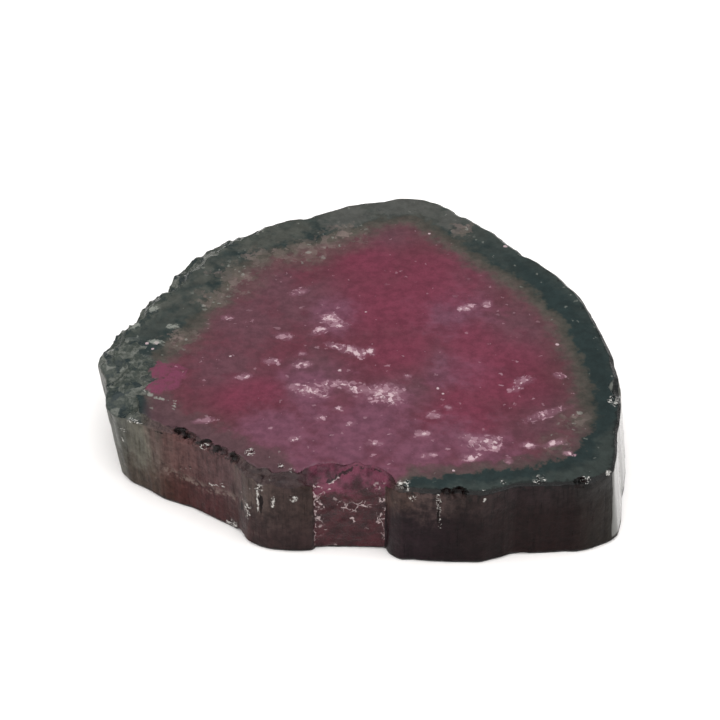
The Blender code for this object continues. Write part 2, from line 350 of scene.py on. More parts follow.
# The rim: how unevenly it is worn, the insets between which its slope turns from worn to broken, and the
# bulge of the left lobe, which lies in front of this y.
RIM_WEAR_CELL = (0.45, 0.45, 0.45)
RIM_WEAR = 0.3
RIM_WEAR_SEED = 5
WIDE_INSET = (0.3, 0.6)
LOBE_BULGE = 0.1
LOBE_FRONT_Y = -10.5

# Edges above this angle are shaded sharp.
SHARP_ANGLE = np.radians(32)
# The materials, in their order on the mesh.
SAWN, SKIN, BREAK = range(3)

# The rough corner at the left end of the upper face: its middle and radii in plan, the noises that fray its
# edge, by cell, amount and seed, where it fades, how far it is sunk, and its share of the breaks' relief. The
# upper face is broken too where a chip has taken it below its plane, between these depths.
CORNER_MIDDLE = (-13.4, -4.3)
CORNER_RADII = (2.3, 3.2)
CORNER_FRAY = [((0.9, 0.9, 0.9), 0.35, 31), ((0.3, 0.3, 0.3), 0.2, 32)]
CORNER_FADE = (1.0, 0.85)
CORNER_DROP = 0.06
CORNER_SHARE = 0.5
CHIP_DEPTHS = (0.01, 0.03)

# The end face at the right is smooth and glossy from this x on, measured at the upper plane, and further
# right by this much for each millimetre down. It loses this share of the wall's streaks. Its gloss fades
# towards the rim, the foot and the back between these depths, heights and y.
POLISHED_FROM_X = (12.95, 13.05)
POLISHED_LEAN = 0.06
POLISHED_EASE = 0.9
POLISHED_DEPTHS = (0.1, 0.3)
POLISHED_HEIGHTS = (0.3, 0.45)
POLISHED_ENDS_Y = (1.0, -3.0)


def polished_share(points):
    """1 on the smooth end face, 0 elsewhere."""
    x = points[..., 0] + POLISHED_LEAN * (points[..., 2] - THICKNESS)
    return smooth_share(x, *POLISHED_FROM_X)


def ball_direction(centre):
    """The way a ball cuts into the slab: level towards the middle, and down from above or up from below."""
    inward = np.append(MIDDLE - centre[:2], 0.0)
    inward /= np.linalg.norm(inward)
    inward[2] = -BALL_TILT if centre[2] > THICKNESS / 2 else BALL_TILT
    return inward / np.linalg.norm(inward)


def rim_ball(x, y, radius, bite, shoulder, rim):
    """The ball that bites that deep into the rim's slope next to x and y: its centre, radius and way in."""
    k = np.argmin(np.hypot(shoulder[:, 0] - x, shoulder[:, 1] - y))
    side = outward(shoulder[:, :2])[k]
    inset = np.linalg.norm(shoulder[k, :2] - rim[k, :2])
    drop = rim[k, 2] - shoulder[k, 2]
    normal = np.array([side[0] * drop, side[1] * drop, inset]) / np.hypot(inset, drop)
    return (shoulder[k] + rim[k]) / 2 + normal * (radius - bite), radius, -normal


def plain_grid():
    """The slab before it is broken: rows from the lower to the upper pole, and where each part's rows end.

    A wall point at height z lies z / thickness of the way from the foot outline to the upper outline. The
    rim's slope runs straight from the shoulder to the rim, with a low bulge where the left lobe is rounded.
    """
    upper, inset, drop = section()
    level = np.zeros(COLUMNS)
    wear = 1 + RIM_WEAR * lattice_noise(np.column_stack([upper, level]), RIM_WEAR_CELL, RIM_WEAR_SEED)
    inset, drop = inset * wear, drop * wear
    foot = upper + np.stack([lean_at(upper[:, 0]), level], axis=1)
    foot_edge = np.column_stack([pulled_in(foot, np.full(COLUMNS, FOOT_WEAR)), level])
    rim = pulled_in(upper, inset)
    rim = np.column_stack([rim, top_height(rim[:, 0])])
    low_pole = np.broadcast_to([*MIDDLE, 0.0], rim.shape)
    high_pole = np.broadcast_to([*MIDDLE, top_height(MIDDLE[0])], rim.shape)

    shoulder = top_height(upper[:, 0]) - drop
    heights = FOOT_RISE + (shoulder - FOOT_RISE) * np.linspace(0, 1, WALL_ROWS)[:, None]
    share = (heights / THICKNESS)[..., None]
    wall = np.concatenate([foot * (1 - share) + upper * share, heights[..., None]], axis=2)

    steps = np.linspace(0, 1, SLOPE_ROWS + 2)[1:-1]
    slope = between(wall[-1], rim, steps)
    on_lobe = (upper[:, 1] < LOBE_FRONT_Y) * (upper[:, 0] < NOTCH[0][0])
    rounded = LOBE_BULGE * smooth_share(inset, *WIDE_INSET) * on_lobe
    slope[..., 2] += rounded * (4 * steps * (1 - steps))[:, None]

    lower = between(low_pole, foot_edge, np.linspace(POLE_SHARE, 1, LOWER_ROWS))
    foot_slope = between(foot_edge, wall[0], np.linspace(0, 1, FOOT_ROWS + 2)[1:-1])
    top = between(rim, high_pole, (1 - POLE_SHARE) * np.linspace(0, 1, UPPER_ROWS) ** ROW_CROWDING)
    parts = [lower, foot_slope, wall, slope, top]
    return np.concatenate(parts), np.cumsum([len(part) for part in parts])


def broken_share(grid, ends):
    """1 where the crystal is broken rather than sawn or grown: the wide slopes, the rough corner, the notch.

    The rough corner is an ellipse in plan whose edge is frayed by noise. The second grid is 1 in all of the
    notch's columns.
    """
    upper, inset, _ = section()
    wide = np.zeros(grid.shape[:2])
    wide[ends[2] - 1:ends[3] + 1] = smooth_share(inset, *WIDE_INSET)
    notch = in_notch(upper)
    wide[ends[1]:ends[2]] = notch
    reach = np.linalg.norm((grid[..., :2] - CORNER_MIDDLE) / CORNER_RADII, axis=-1)
    for cell, amount, seed in CORNER_FRAY:
        reach = reach + amount * lattice_noise(grid, cell, seed)
    corner = smooth_share(reach, *CORNER_FADE)
    corner = np.maximum(corner, smooth_share(top_height(grid[..., 0]) - grid[..., 2], *CHIP_DEPTHS))
    corner[:ends[3]] = 0.0
    return np.maximum(wide, corner), np.broadcast_to(notch, grid.shape[:2])


def slab_grid():
    """The finished surface: the plain grid, chipped by balls, streaked up its walls and hackly where broken.

    Each relief is a height added along the surface's normal. Streaks are noise stretched upwards. A break is
    a patchwork of tilted planes, with smaller splinters on it.
    """
    grid, ends = plain_grid()
    shoulder, rim = grid[ends[2] - 1], grid[ends[3]]
    for x, y, radius, bite in RIM_CHIPS:
        grid = carved(grid, *rim_ball(x, y, radius, bite, shoulder, rim))
    for x, y, z, radius in FOOT_CHIPS + PITS:
        centre = np.array([x, y, z])
        grid = carved(grid, centre, radius, ball_direction(centre))

    normals = grid_normals(grid)
    broken, notch = broken_share(grid, ends)
    wall = np.zeros(grid.shape[:2])
    wall[ends[1]:ends[2]] = 1.0
    wall *= (1 - broken) * (1 - POLISHED_EASE * polished_share(grid))
    height = wall * WALL_DENT_DEPTH * lattice_noise(grid, WALL_DENT_CELL, WALL_DENT_SEED)
    for k, (cell, depth) in enumerate(STREAK_CELLS):
        height += wall * depth * (1 - 2 * np.abs(lattice_noise(grid, cell, STREAK_SEED + k)))
    hackly = BREAK_DEPTH * facets(grid, BREAK_CELL, BREAK_TILT, BREAK_SEED)
    hackly += SPLINTER_DEPTH * facets(grid, SPLINTER_CELL, BREAK_TILT, SPLINTER_SEED)
    height += broken * (1 - NOTCH_EASE * notch) * hackly
    height[ends[3]:] *= CORNER_SHARE
    height[ends[3]:] -= CORNER_DROP * broken[ends[3]:]
    return grid + normals * height[..., None], ends, broken, notch


def slab_faces(rows):
    """Quads between neighbouring rows and columns, then a fan at each pole. Vertex 0 is the lower pole."""
    index = 1 + np.arange(rows * COLUMNS).reshape(rows, COLUMNS)
    after = np.roll(index, -1, axis=1)
    quads = np.stack([index[:-1], after[:-1], after[1:], index[1:]], axis=-1).reshape(-1, 4)
    low_pole, high_pole = np.full(COLUMNS, 0), np.full(COLUMNS, rows * COLUMNS + 1)
    lower = np.stack([low_pole, after[0], index[0]], axis=-1)
    upper = np.stack([index[-1], after[-1], high_pole], axis=-1)
    return quads.tolist() + lower.tolist() + upper.tolist()


def face_slots(ends, broken):
    """Material of each face: sawn above and below, ridged skin up the wall, fresh break where it broke."""
    rows = broken.shape[0] - 1
    slots = np.full((rows, COLUMNS), SAWN)
    slots[ends[0] - 1:ends[2] - 1] = SKIN
    slots[ends[2] - 1:ends[3]] = BREAK
    pairs = broken + np.roll(broken, -1, axis=1)
    slots[(pairs[:-1] + pairs[1:]) / 4 > 0.5] = BREAK
    return np.concatenate([slots.ravel(), np.full(2 * COLUMNS, SAWN)])


# Spots of each tone on the faces, as the slab is placed: x, y and radius, or x, y, half length, half width
# and turn in degrees. Veils are sheets of tiny cracks, and veins are pale lines in the rough corner.
SPOTS = {
    "crimson": [
        (7.4, -4.1, 2.3), (7.7, -2.2, 1.9), (6.1, -0.9, 1.6), (3.9, 4.9, 2.6), (1.6, 2.6, 2.6),
        (0.4, 6.2, 1.8), (-6.9, -5.4, 1.0), (-5.6, -5.0, 0.9), (2.1, -1.6, 1.6), (5.6, -6.4, 1.5),
    ],
    "dusky": [
        (8.8, 0.4, 2.1), (4.3, -2.6, 1.3), (-6.5, 0.6, 2.6), (-7.6, -3.2, 1.9), (1.6, 9.2, 1.5),
        (-3.3, 2.6, 2.2), (9.9, -7.4, 1.9), (-2.6, -3.2, 1.6), (-4.9, 4.3, 1.7), (6.6, 5.0, 1.6),
        (2.6, -4.6, 1.3),
    ],
    "mauve": [
        (-1.5, -8.8, 3.0), (2.4, -9.3, 2.6), (5.4, -3.1, 1.3), (4.9, 1.9, 1.8), (-2.9, -5.0, 1.7),
        (-4.3, -8.3, 1.8), (0.4, -7.0, 2.2), (6.0, -9.6, 1.7), (-1.5, 1.6, 1.3),
    ],
    "knob": [
        (-11.2, -3.4, 0.75), (-10.3, -3.6, 0.75), (-11.2, -4.8, 0.6), (-10.5, -4.5, 0.6),
    ],
    "pale": [
        (2.4, 11.7, 2.4), (-0.8, 10.8, 1.7), (5.2, 10.6, 1.1),
    ],
    "vein": [
        (-12.0, -4.65, 0.36, 0.2, -55), (-11.5, -5.4, 0.5, 0.14, -42), (-10.9, -5.8, 0.45, 0.11, -15),
        (-10.1, -6.3, 0.1, 0.5, 0), (-12.7, -2.1, 0.35, 0.22, 30), (-12.3, -2.8, 0.25, 0.35, 0),
        (-12.7, -6.2, 0.45, 0.16, -20), (-13.1, -4.9, 0.2, 0.35, 10), (-11.5, -1.0, 0.45, 0.22, -10),
        (-12.9, 0.4, 0.5, 0.3, 30), (-11.9, 1.9, 0.4, 0.25, 20), (-10.6, 0.4, 0.35, 0.2, 0),
    ],
    "olive": [
        (-6.0, 6.7, 0.75), (-7.4, 4.9, 1.0), (-8.6, 2.9, 0.7), (-4.8, 7.1, 0.7), (-3.2, 7.6, 0.9),
        (-0.9, 9.1, 0.8), (-2.0, 8.4, 0.7), (5.8, 9.7, 0.6), (-10.2, -0.6, 0.7), (11.3, -7.2, 0.6),
        (10.2, -9.1, 0.5),
    ],
    "veil": [
        (-1.9, 1.25, 0.45, 0.36, 20), (-1.35, 0.6, 0.42, 0.3, -15), (-2.3, 0.2, 0.5, 0.22, 35),
        (-0.65, -1.5, 0.6, 0.3, -16), (-0.2, -1.75, 0.45, 0.35, -12), (0.42, -1.6, 0.24, 0.26, 10),
        (-1.6, -1.2, 0.45, 0.2, -25), (-2.9, -4.95, 0.7, 0.4, 5), (-3.6, -4.7, 0.45, 0.24, 0),
        (-1.2, -4.45, 0.9, 0.26, -5), (-0.3, -4.85, 0.8, 0.28, -12), (0.9, -5.15, 0.96, 0.52, -4),
        (1.6, -5.25, 0.6, 0.62, 0), (-3.3, -2.8, 0.41, 0.26, 10), (-5, -2.55, 0.36, 0.22, -10),
        (5.9, 2.3, 0.45, 0.23, 15), (7, 2.65, 0.27, 0.22, 30), (8.75, -4, 0.45, 0.26, 20),
        (8.3, -4.7, 0.32, 0.19, 25), (9.75, -6.75, 1.03, 0.22, 27), (6.35, -9, 0.75, 0.42, 18),
        (5.5, -8.7, 0.4, 0.22, -20), (6.85, -9.4, 0.4, 0.26, 0), (5.7, -10.2, 0.45, 0.26, 10),
        (3.2, -8.4, 0.32, 0.22, -10), (8.75, -9.25, 0.38, 0.2, -6), (10.1, -9.05, 0.54, 0.19, 30),
        (10.8, -9.85, 0.26, 0.14, -10), (-8.45, -7.5, 0.5, 0.17, 12), (-1.3, -6.45, 0.29, 0.17, 10),
        (-2.3, -7.2, 0.25, 0.2, 0), (-0.7, -7.7, 0.32, 0.14, 20), (-2.05, -5.45, 0.2, 0.14, 0),
        (-3.3, -1.9, 0.2, 0.13, 0), (3.8, -6.9, 0.32, 0.23, 10), (4.6, -6.3, 0.2, 0.17, 0),
        (10.75, -3.55, 0.25, 0.2, -35), (7.6, -10.45, 0.2, 0.17, -60), (-6.5, -3.9, 0.36, 0.2, 12),
        (-7.6, 1.2, 0.27, 0.17, 0), (-4.4, -0.4, 0.36, 0.23, -10), (-3.6, 3.6, 0.41, 0.23, 20),
        (2.4, -3.7, 0.2, 0.14, 0), (3.4, -10.1, 0.36, 0.17, 10), (0.6, -9.2, 0.36, 0.17, 0),
        (-3.6, -8.9, 0.32, 0.17, 15),
    ],
}

# Chipped places with bright bits of painted glint and dark bits of painted shadow, and black holes, whose
# black is
# # painted shadow in the pits: x, y, z, half width and half height.
CHIPPED = [
    (-8.33, -9.12, 4.93, 0.26, 0.14), (-5.42, -11.78, 4.46, 0.2, 0.28), (-5.42, -11.8, 3.5, 0.15, 0.75),
    (-6.1, -11.3, 2.45, 0.24, 0.6), (-6.97, -10.29, 0.4, 0.3, 0.26), (-4.69, -11.98, 3.6, 0.1, 0.4),
    (-3.64, -12.07, 3.9, 0.22, 0.2), (-9.65, -8.6, 2.88, 0.16, 0.12), (-9.23, -8.79, 3.12, 0.12, 0.1),
    (-12.9, -6.9, 4.1, 0.26, 0.12), (-12.2, -7.1, 4.95, 0.45, 0.12), (2.1, -12.35, 5.1, 0.35, 0.14),
    (2.6, -12.6, 4.6, 0.3, 0.2), (3.9, -12.87, 4.2, 0.12, 0.8), (11.5, -11.8, 5.0, 0.28, 0.14),
    (12.8, -11.25, 4.95, 0.18, 0.12), (6.23, -12.7, 5.0, 0.1, 0.35), (7.24, -12.08, 5.11, 0.14, 0.1),
    (9.17, -11.9, 5.06, 0.34, 0.05), (-5.92, -9.97, 5.28, 0.26, 0.14), (-4.26, -11.03, 5.26, 0.18, 0.2),
    (-3.7, -11.3, 5.1, 0.16, 0.2), (13.6, -5.6, 5.0, 0.35, 0.2), (-4.85, -10.35, 5.3, 0.07, 0.2),
]
NOTCH_CHIPPED = [
    (-2.45, -11.85, 2.8, 0.34, 1.9), (1.1, -11.8, 3.1, 0.32, 2.1), (-0.4, -11.75, 3.1, 0.8, 0.3),
]
HOLES = [
    (-9.75, -8.15, 5.12, 0.36, 0.2), (-9.35, -8.4, 5.0, 0.22, 0.2), (-8.35, -8.92, 5.16, 0.42, 0.09),
    (-7.6, -9.65, 5.2, 0.26, 0.2), (-6.78, -10.1, 5.1, 0.2, 0.24), (4.35, -12.55, 4.92, 0.32, 0.16),
    (5.05, -12.55, 4.86, 0.26, 0.13), (11.35, -11.82, 5.0, 0.24, 0.12), (-5.35, -11.8, 3.3, 0.1, 0.75),
    (-10.8, -7.9, 4.95, 0.4, 0.08), (-6.4, -10.95, 2.35, 0.16, 0.4), (3.9, -12.85, 3.6, 0.08, 0.7),
]
# Distances to spots and chips are cut off here, in their own radii, because no pattern reaches so far.
FARTHEST = 9.0

# Scratches and cracks: two ends and the half width. Pale ones on the walls, pale ones and dark ones of
# painted shadow in the notch.
WALL_SCRATCHES = [
    ((-8.15, -9.52, 2.56), (-6.36, -10.97, 3.28), 0.035),
    ((-7.53, -9.93, 2.95), (-5.77, -11.58, 4.2), 0.022), ((-5.5, -11.76, 4.3), (-5.53, -11.74, 2.7), 0.035),
    ((-6.32, -11.04, 2.83), (-5.96, -11.45, 2.14), 0.04),
    ((-7.41, -10.0, 0.29), (-6.8, -10.43, 0.41), 0.06), ((6.19, -12.55, 5.1), (6.22, -12.92, 4.55), 0.05),
    ((3.99, -12.87, 4.58), (4.03, -12.87, 2.57), 0.03), ((-4.64, -11.99, 3.73), (-4.7, -11.98, 3.22), 0.05),
    ((-13.36, -5.78, 4.89), (-12.95, -6.81, 3.28), 0.05),
]
NOTCH_SCRATCHES = [
    ((-2.85, -11.99, 4.45), (-2.5, -11.8, 3.77), 0.045),
    ((-2.55, -11.69, 4.45), (-1.72, -11.72, 4.27), 0.04),
    ((-2.61, -11.88, 3.06), (-2.35, -11.78, 3.46), 0.04),
    ((-2.35, -11.78, 3.46), (-2.04, -11.77, 2.95), 0.04),
    ((-2.67, -11.95, 2.91), (-2.69, -11.98, 1.55), 0.055),
    ((-2.77, -12.02, 2.68), (-2.05, -11.77, 2.44), 0.04),
    ((-2.69, -11.98, 1.55), (-1.9, -11.76, 1.34), 0.035),
    ((-1.41, -11.77, 3.17), (-0.68, -11.78, 2.88), 0.045),
    ((-0.05, -11.78, 3.18), (0.37, -11.79, 3.05), 0.055),
    ((1.21, -11.94, 3.11), (0.79, -11.8, 2.26), 0.045), ((0.79, -11.8, 2.04), (1.33, -12.17, 0.85), 0.05),
    ((1.1, -11.83, 3.73), (1.26, -12.01, 3.18), 0.045), ((-0.63, -11.78, 2.3), (-0.42, -11.78, 2.01), 0.07),
    ((-1.82, -11.45, 4.44), (-1.3, -11.26, 4.63), 0.05),
]
NOTCH_CRACKS = [
    ((-2.05, -11.45, 4.42), (-0.36, -10.9, 5.12), 0.08), ((-0.36, -10.9, 5.12), (0.95, -11.2, 5.05), 0.05),
]


def chip_distance(points, chips):
    """Distance to the nearest chip, in its own radii: across it in X and Y together, and up it in Z."""
    nearest = np.full(len(points), FARTHEST)
    for x, y, z, half_width, half_height in chips:
        across = np.hypot(points[:, 0] - x, points[:, 1] - y) / half_width
        nearest = np.minimum(nearest, np.hypot(across, (points[:, 2] - z) / half_height))
    return nearest


def spot_distance(points, spots):
    """Distance to the nearest spot, in its own radii: the length of the offset, once that is turned back and
    divided by the radii."""
    nearest = np.full(len(points), FARTHEST)
    for x, y, *rest in spots:
        half_length, half_width, turn = rest if len(rest) == 3 else (rest[0], rest[0], 0.0)
        away = points - (x, y)
        cosine, sine = np.cos(np.radians(turn)), np.sin(np.radians(turn))
        along = (away[:, 0] * cosine + away[:, 1] * sine) / half_length
        across = (away[:, 1] * cosine - away[:, 0] * sine) / half_width
        nearest = np.minimum(nearest, np.hypot(along, across))
    return nearest


def slab_piece(materials):
    """The slab's mesh, centred as the solid is, with the patterns' distances stored at its vertices."""
    grid, ends, broken, notch = slab_grid()
    grid[..., 2] = np.maximum(grid[..., 2], 0.0)
    points = np.concatenate([[grid[0].mean(axis=0)], grid.reshape(-1, 3), [grid[-1].mean(axis=0)]])
    outline = section()[0][::3]
    fields = {
        "zone": curve_distance(points[:, :2], CORE),
        "edge": curve_distance(points[:, :2], outline, smooth=1),
        "broken": np.pad(broken.ravel(), 1),
        "notch": np.pad(notch.ravel(), 1),
        "depth": top_height(points[:, 0]) - points[:, 2],
    }
    points -= np.append((points[:, :2].min(axis=0) + points[:, :2].max(axis=0)) / 2, 0.0)
    polished = polished_share(points) * smooth_share(fields["depth"], *POLISHED_DEPTHS)
    polished *= smooth_share(points[:, 2], *POLISHED_HEIGHTS) * smooth_share(points[:, 1], *POLISHED_ENDS_Y)
    fields["polished"] = polished
    for name, spots in SPOTS.items():
        fields[name] = spot_distance(points[:, :2], spots)
    for name, chips in (("chipped", CHIPPED), ("cracked", NOTCH_CHIPPED), ("holed", HOLES)):
        fields[name] = chip_distance(points, chips)
    mesh = bpy.data.meshes.new(SURFACE)
    mesh.from_pydata((points * MM).tolist(), [], slab_faces(len(grid)))
    for name, values in fields.items():
        mesh.attributes.new(name, "FLOAT", "POINT").data.foreach_set("value", values.astype(np.float32))
    for material in materials:
        mesh.materials.append(material)
    mesh.polygons.foreach_set("material_index", face_slots(ends, broken).astype(np.int32))
    mesh.shade_smooth()
    mesh.set_sharp_from_angle(angle=SHARP_ANGLE)
    mesh.validate()
    mesh.update()
    return placed(SURFACE, mesh)


def placed(name, data):
    """A new object of that name in the scene, unturned and at the origin."""
    made = bpy.data.objects.new(name, data)
    bpy.context.scene.collection.objects.link(made)
    return made


# ---------------------------------------------------------------- node helpers

# Kinds of the groups' sockets. Those that aren't named here are numbers.
SOCKETS = {"Place": "NodeSocketVector", "Color": "NodeSocketColor"}


def put(tree, kind, inputs, **settings):
    """Adds a node. Settings are its own properties. Inputs are set, or linked where they are sockets."""
    made = tree.nodes.new(kind)
    for key, value in settings.items():
        setattr(made, key, value)
    for key, value in inputs.items():
        if isinstance(value, bpy.types.NodeSocket):
            tree.links.new(value, made.inputs[key])
        else:
            made.inputs[key].default_value = value
    return made


def math(tree, operation, *values):
    """One number from the values, by the operation of that name."""
    return put(tree, "ShaderNodeMath", dict(enumerate(values)), operation=operation).outputs[0]


def product(tree, *values):
    """All the values multiplied together."""
    return reduce(lambda first, second: math(tree, "MULTIPLY", first, second), values)


def total(tree, *values):
    """All the values added together."""
    return reduce(lambda first, second: math(tree, "ADD", first, second), values)


def smallest(tree, *values):
    """The smallest of the values."""
    return reduce(lambda first, second: math(tree, "MINIMUM", first, second), values)


def weighted(tree, *pairs):
    """The sum of the values, each times its weight."""
    return total(tree, *(product(tree, value, weight) for value, weight in pairs))


def raised(tree, value, factor, start):
    """Start plus factor times the value."""
    return total(tree, product(tree, value, factor), start)


def rest_of(tree, share):
    """One less the share."""
    return math(tree, "SUBTRACT", 1.0, share)


def apart(tree, value, middle):
    """How far the value is from the middle, either way."""
    return math(tree, "ABSOLUTE", math(tree, "SUBTRACT", value, middle))


def shaken(tree, value, *noises):
    """The value pushed either way by noises: each adds its amount times its distance from one half."""
    pushes = (product(tree, math(tree, "SUBTRACT", each, 0.5), amount) for each, amount in noises)
    return total(tree, value, *pushes)


def share_of(tree, value, low, high):
    """0 at low and 1 at high, eased between them. Low may be above high."""
    inputs = {"Value": value, "From Min": low, "From Max": high}
    return put(tree, "ShaderNodeMapRange", inputs, interpolation_type="SMOOTHSTEP").outputs["Result"]


def within(tree, *bands):
    """The product of one share for each band, which is a value, where its share is 0, and where it is 1."""
    return product(tree, *(share_of(tree, *band) for band in bands))


def vector_math(tree, operation, *vectors, **scale):
    """A vector from vectors and a scale, or a number where the operation is a distance or a dot product."""
    node = put(tree, "ShaderNodeVectorMath", {**dict(enumerate(vectors)), **scale}, operation=operation)
    return node.outputs["Value" if operation in ("DISTANCE", "DOT_PRODUCT") else "Vector"]


def parts_of(tree, place):
    """The place's X, Y and Z."""
    parts = put(tree, "ShaderNodeSeparateXYZ", {"Vector": place}).outputs
    return parts["X"], parts["Y"], parts["Z"]


def noise(tree, place, scale, detail=2.0, roughness=0.5, distortion=0.0):
    """Noise of that scale, about 0 to 1."""
    inputs = {"Vector": place, "Scale": scale, "Detail": detail}
    inputs |= {"Roughness": roughness, "Distortion": distortion}
    return put(tree, "ShaderNodeTexNoise", inputs).outputs["Fac"]


def stretched(tree, place, scale, turn=0.0):
    """The place seen through a mapping that multiplies it by scale, after a turn about Z in degrees."""
    inputs = {"Vector": place, "Scale": scale, "Rotation": (0.0, 0.0, np.radians(turn))}
    return put(tree, "ShaderNodeMapping", inputs).outputs["Vector"]


def ragged_place(tree, place, scale, amount):
    """The place moved by a noise of that scale: plus amount times its three values."""
    shake = put(tree, "ShaderNodeTexNoise", {"Vector": place, "Scale": scale, "Detail": 3.0}).outputs["Color"]
    return vector_math(tree, "MULTIPLY_ADD", shake, (amount, amount, amount), place)


def ragged_cells(tree, place, scale, shake=2.0, amount=0.5, feature="F1"):
    """A pattern of cells whose borders are frayed: a noise of scale shake moves the place by up to amount."""
    inputs = {"Vector": ragged_place(tree, place, shake, amount), "Scale": scale, "Randomness": 1.0}
    return put(tree, "ShaderNodeTexVoronoi", inputs, feature=feature).outputs


def cell_values(tree, cells):
    """Two random numbers for each cell."""
    numbers = put(tree, "ShaderNodeSeparateColor", {"Color": cells["Color"]}).outputs
    return numbers["Red"], numbers["Green"]


def colour(red, green, blue):
    return (red, green, blue, 1.0)


def stops(*rows):
    """Stops of a colour ramp from rows of position, red, green and blue."""
    return [(position, colour(*tint)) for position, *tint in rows]


def ramp(tree, value, marks):
    """Colour of the value on a ramp with marks of (position, colour), from 0 to 1."""
    node = put(tree, "ShaderNodeValToRGB", {"Fac": value})
    elements = node.color_ramp.elements
    while len(elements) < len(marks):
        elements.new(0.5)
    for element, (position, tint) in zip(elements, sorted(marks)):
        element.position = position
        element.color = tint
    return node.outputs["Color"]


def ramp_over(tree, value, reach, marks):
    """Colour of the value on a ramp whose marks lie between minus reach and plus reach."""
    share = put(tree, "ShaderNodeMapRange", {"Value": value, "From Min": -reach, "From Max": reach})
    return ramp(tree, share.outputs["Result"], [((at + reach) / (2 * reach), tint) for at, tint in marks])


def mixed(tree, share, first, second, blend="MIX"):
    """Colour from the first to the second by share."""
    inputs = {"Factor": share, 6: first, 7: second}
    return put(tree, "ShaderNodeMix", inputs, data_type="RGBA", blend_type=blend).outputs[2]


def laid_over(tree, tint, shade, *shares):
    """The tint with the shade over it, by the product of the shares."""
    return mixed(tree, product(tree, *shares), tint, shade)


def shaded(tree, tint, share, darkest):
    """The tint times a grey that runs from darkest, at share 0, to as far above 1, at share 1."""
    greys = stops((0.0, darkest, darkest, darkest), (1.0, 2 - darkest, 2 - darkest, 2 - darkest))
    return mixed(tree, 1.0, tint, ramp(tree, share, greys), blend="MULTIPLY")


def new_group(name, inputs, outputs):
    """A shader node group with these named sockets, and the sockets that its own nodes read and feed."""
    tree = bpy.data.node_groups.new(name, "ShaderNodeTree")
    for way, labels in (("INPUT", inputs), ("OUTPUT", outputs)):
        for label in labels:
            kind = SOCKETS.get(label, "NodeSocketFloat")
            tree.interface.new_socket(label, in_out=way, socket_type=kind)
    return tree, tree.nodes.new("NodeGroupInput").outputs, tree.nodes.new("NodeGroupOutput").inputs


def closed(tree, result, **values):
    """The group's tree, once the values are linked to its outputs of those names."""
    for label, value in values.items():
        tree.links.new(value, result[label])
    return tree


def use(tree, group, **inputs):
    """Places a group and returns its outputs."""
    return put(tree, "ShaderNodeGroup", inputs, node_tree=group).outputs


# ---------------------------------------------------------------- colours and patterns of the crystal

# Colours from the outside of the rind to the core, by signed distance from the core's boundary.
ZONE_REACH = 3.0
ZONES = stops(
    (-2.6, 0.029, 0.037, 0.034), (-1.6, 0.014, 0.023, 0.023), (-0.8, 0.014, 0.023, 0.023),
    (-0.5, 0.038, 0.038, 0.032), (0.0, 0.060, 0.050, 0.043), (0.5, 0.076, 0.042, 0.044),
    (1.0, 0.083, 0.029, 0.037), (2.2, 0.092, 0.024, 0.036),
)
PALE_RIND = colour(0.050, 0.053, 0.046)
PALE_RIM = colour(0.060, 0.061, 0.056)
DULL_MAUVE = colour(0.072, 0.035, 0.042)
OLIVE_PATCH = colour(0.080, 0.070, 0.056)
BEIGE_PATCH = colour(0.160, 0.120, 0.110)
ROSY_BEIGE = colour(0.084, 0.046, 0.047)
KNOB = colour(0.135, 0.034, 0.064)
HAZE = colour(0.170, 0.075, 0.105)
VEIL = colour(0.36, 0.22, 0.26)
# Painted highlight: the colour of the upper face's glints and of the glare of the veils' flakes.
PINK_GLINT = colour(0.50, 0.38, 0.40)
GREY_FLECK = colour(0.26, 0.27, 0.24)
# Clouds in the core: tone, colour and strength.
CLOUDS = [
    ("Dusky", colour(0.088, 0.040, 0.051), 0.75),
    ("Mauve", colour(0.124, 0.048, 0.075), 0.8),
    ("Crimson", colour(0.132, 0.025, 0.047), 0.7),
]
TONES = ["Zone", "Crimson", "Dusky", "Mauve", "Olive", "Pale"]
# X of the notch's middle.
NOTCH_X = -0.7
# How far a noise moves the scratches, in millimetres.
SCRATCH_FRAY = 0.5

# Single bright specks on the upper face, painted glints of tiny fractures: x, y and radius.
GLINT_SPECKS = [
    (-7.27, -2.16, 0.07), (-11.93, -1.12, 0.1), (-11.42, -1.07, 0.13), (-11.6, -1.62, 0.08),
    (-1.25, -3.28, 0.09), (0.19, 1.85, 0.06), (4.05, -4.7, 0.08), (4.32, -5.14, 0.06), (10.79, -0.87, 0.09),
    (8.35, 8.1, 0.11), (3.94, 9.25, 0.08), (8.62, -4.18, 0.07), (4.71, -11.25, 0.07), (3.25, -8.42, 0.1),
    (0.45, -1.5, 0.12),
]


def nearest_spot(tree, place, spots):
    """Smallest distance in plan to any spot, in its own radii. A spot is x, y and radius."""
    flat = vector_math(tree, "MULTIPLY", place, (1.0, 1.0, 0.0))
    distances = [math(tree, "DIVIDE", vector_math(tree, "DISTANCE", flat, (x, y, 0.0)), radius)
                 for x, y, radius in spots]
    return smallest(tree, *distances)


def scratch_distance(tree, place, start, end, half_width):
    """Distance to the straight line from start to end, in its half width: the place's share of the way along
    the line is cut off at 0 and 1, and the distance is that to the point at this share."""
    way = np.array(end) - np.array(start)
    from_start = vector_math(tree, "SUBTRACT", place, start)
    along = vector_math(tree, "DOT_PRODUCT", from_start, way / (way @ way))
    along = put(tree, "ShaderNodeClamp", {"Value": along}).outputs["Result"]
    foot = vector_math(tree, "SCALE", way, Scale=along)
    return math(tree, "DIVIDE", vector_math(tree, "DISTANCE", from_start, foot), half_width)


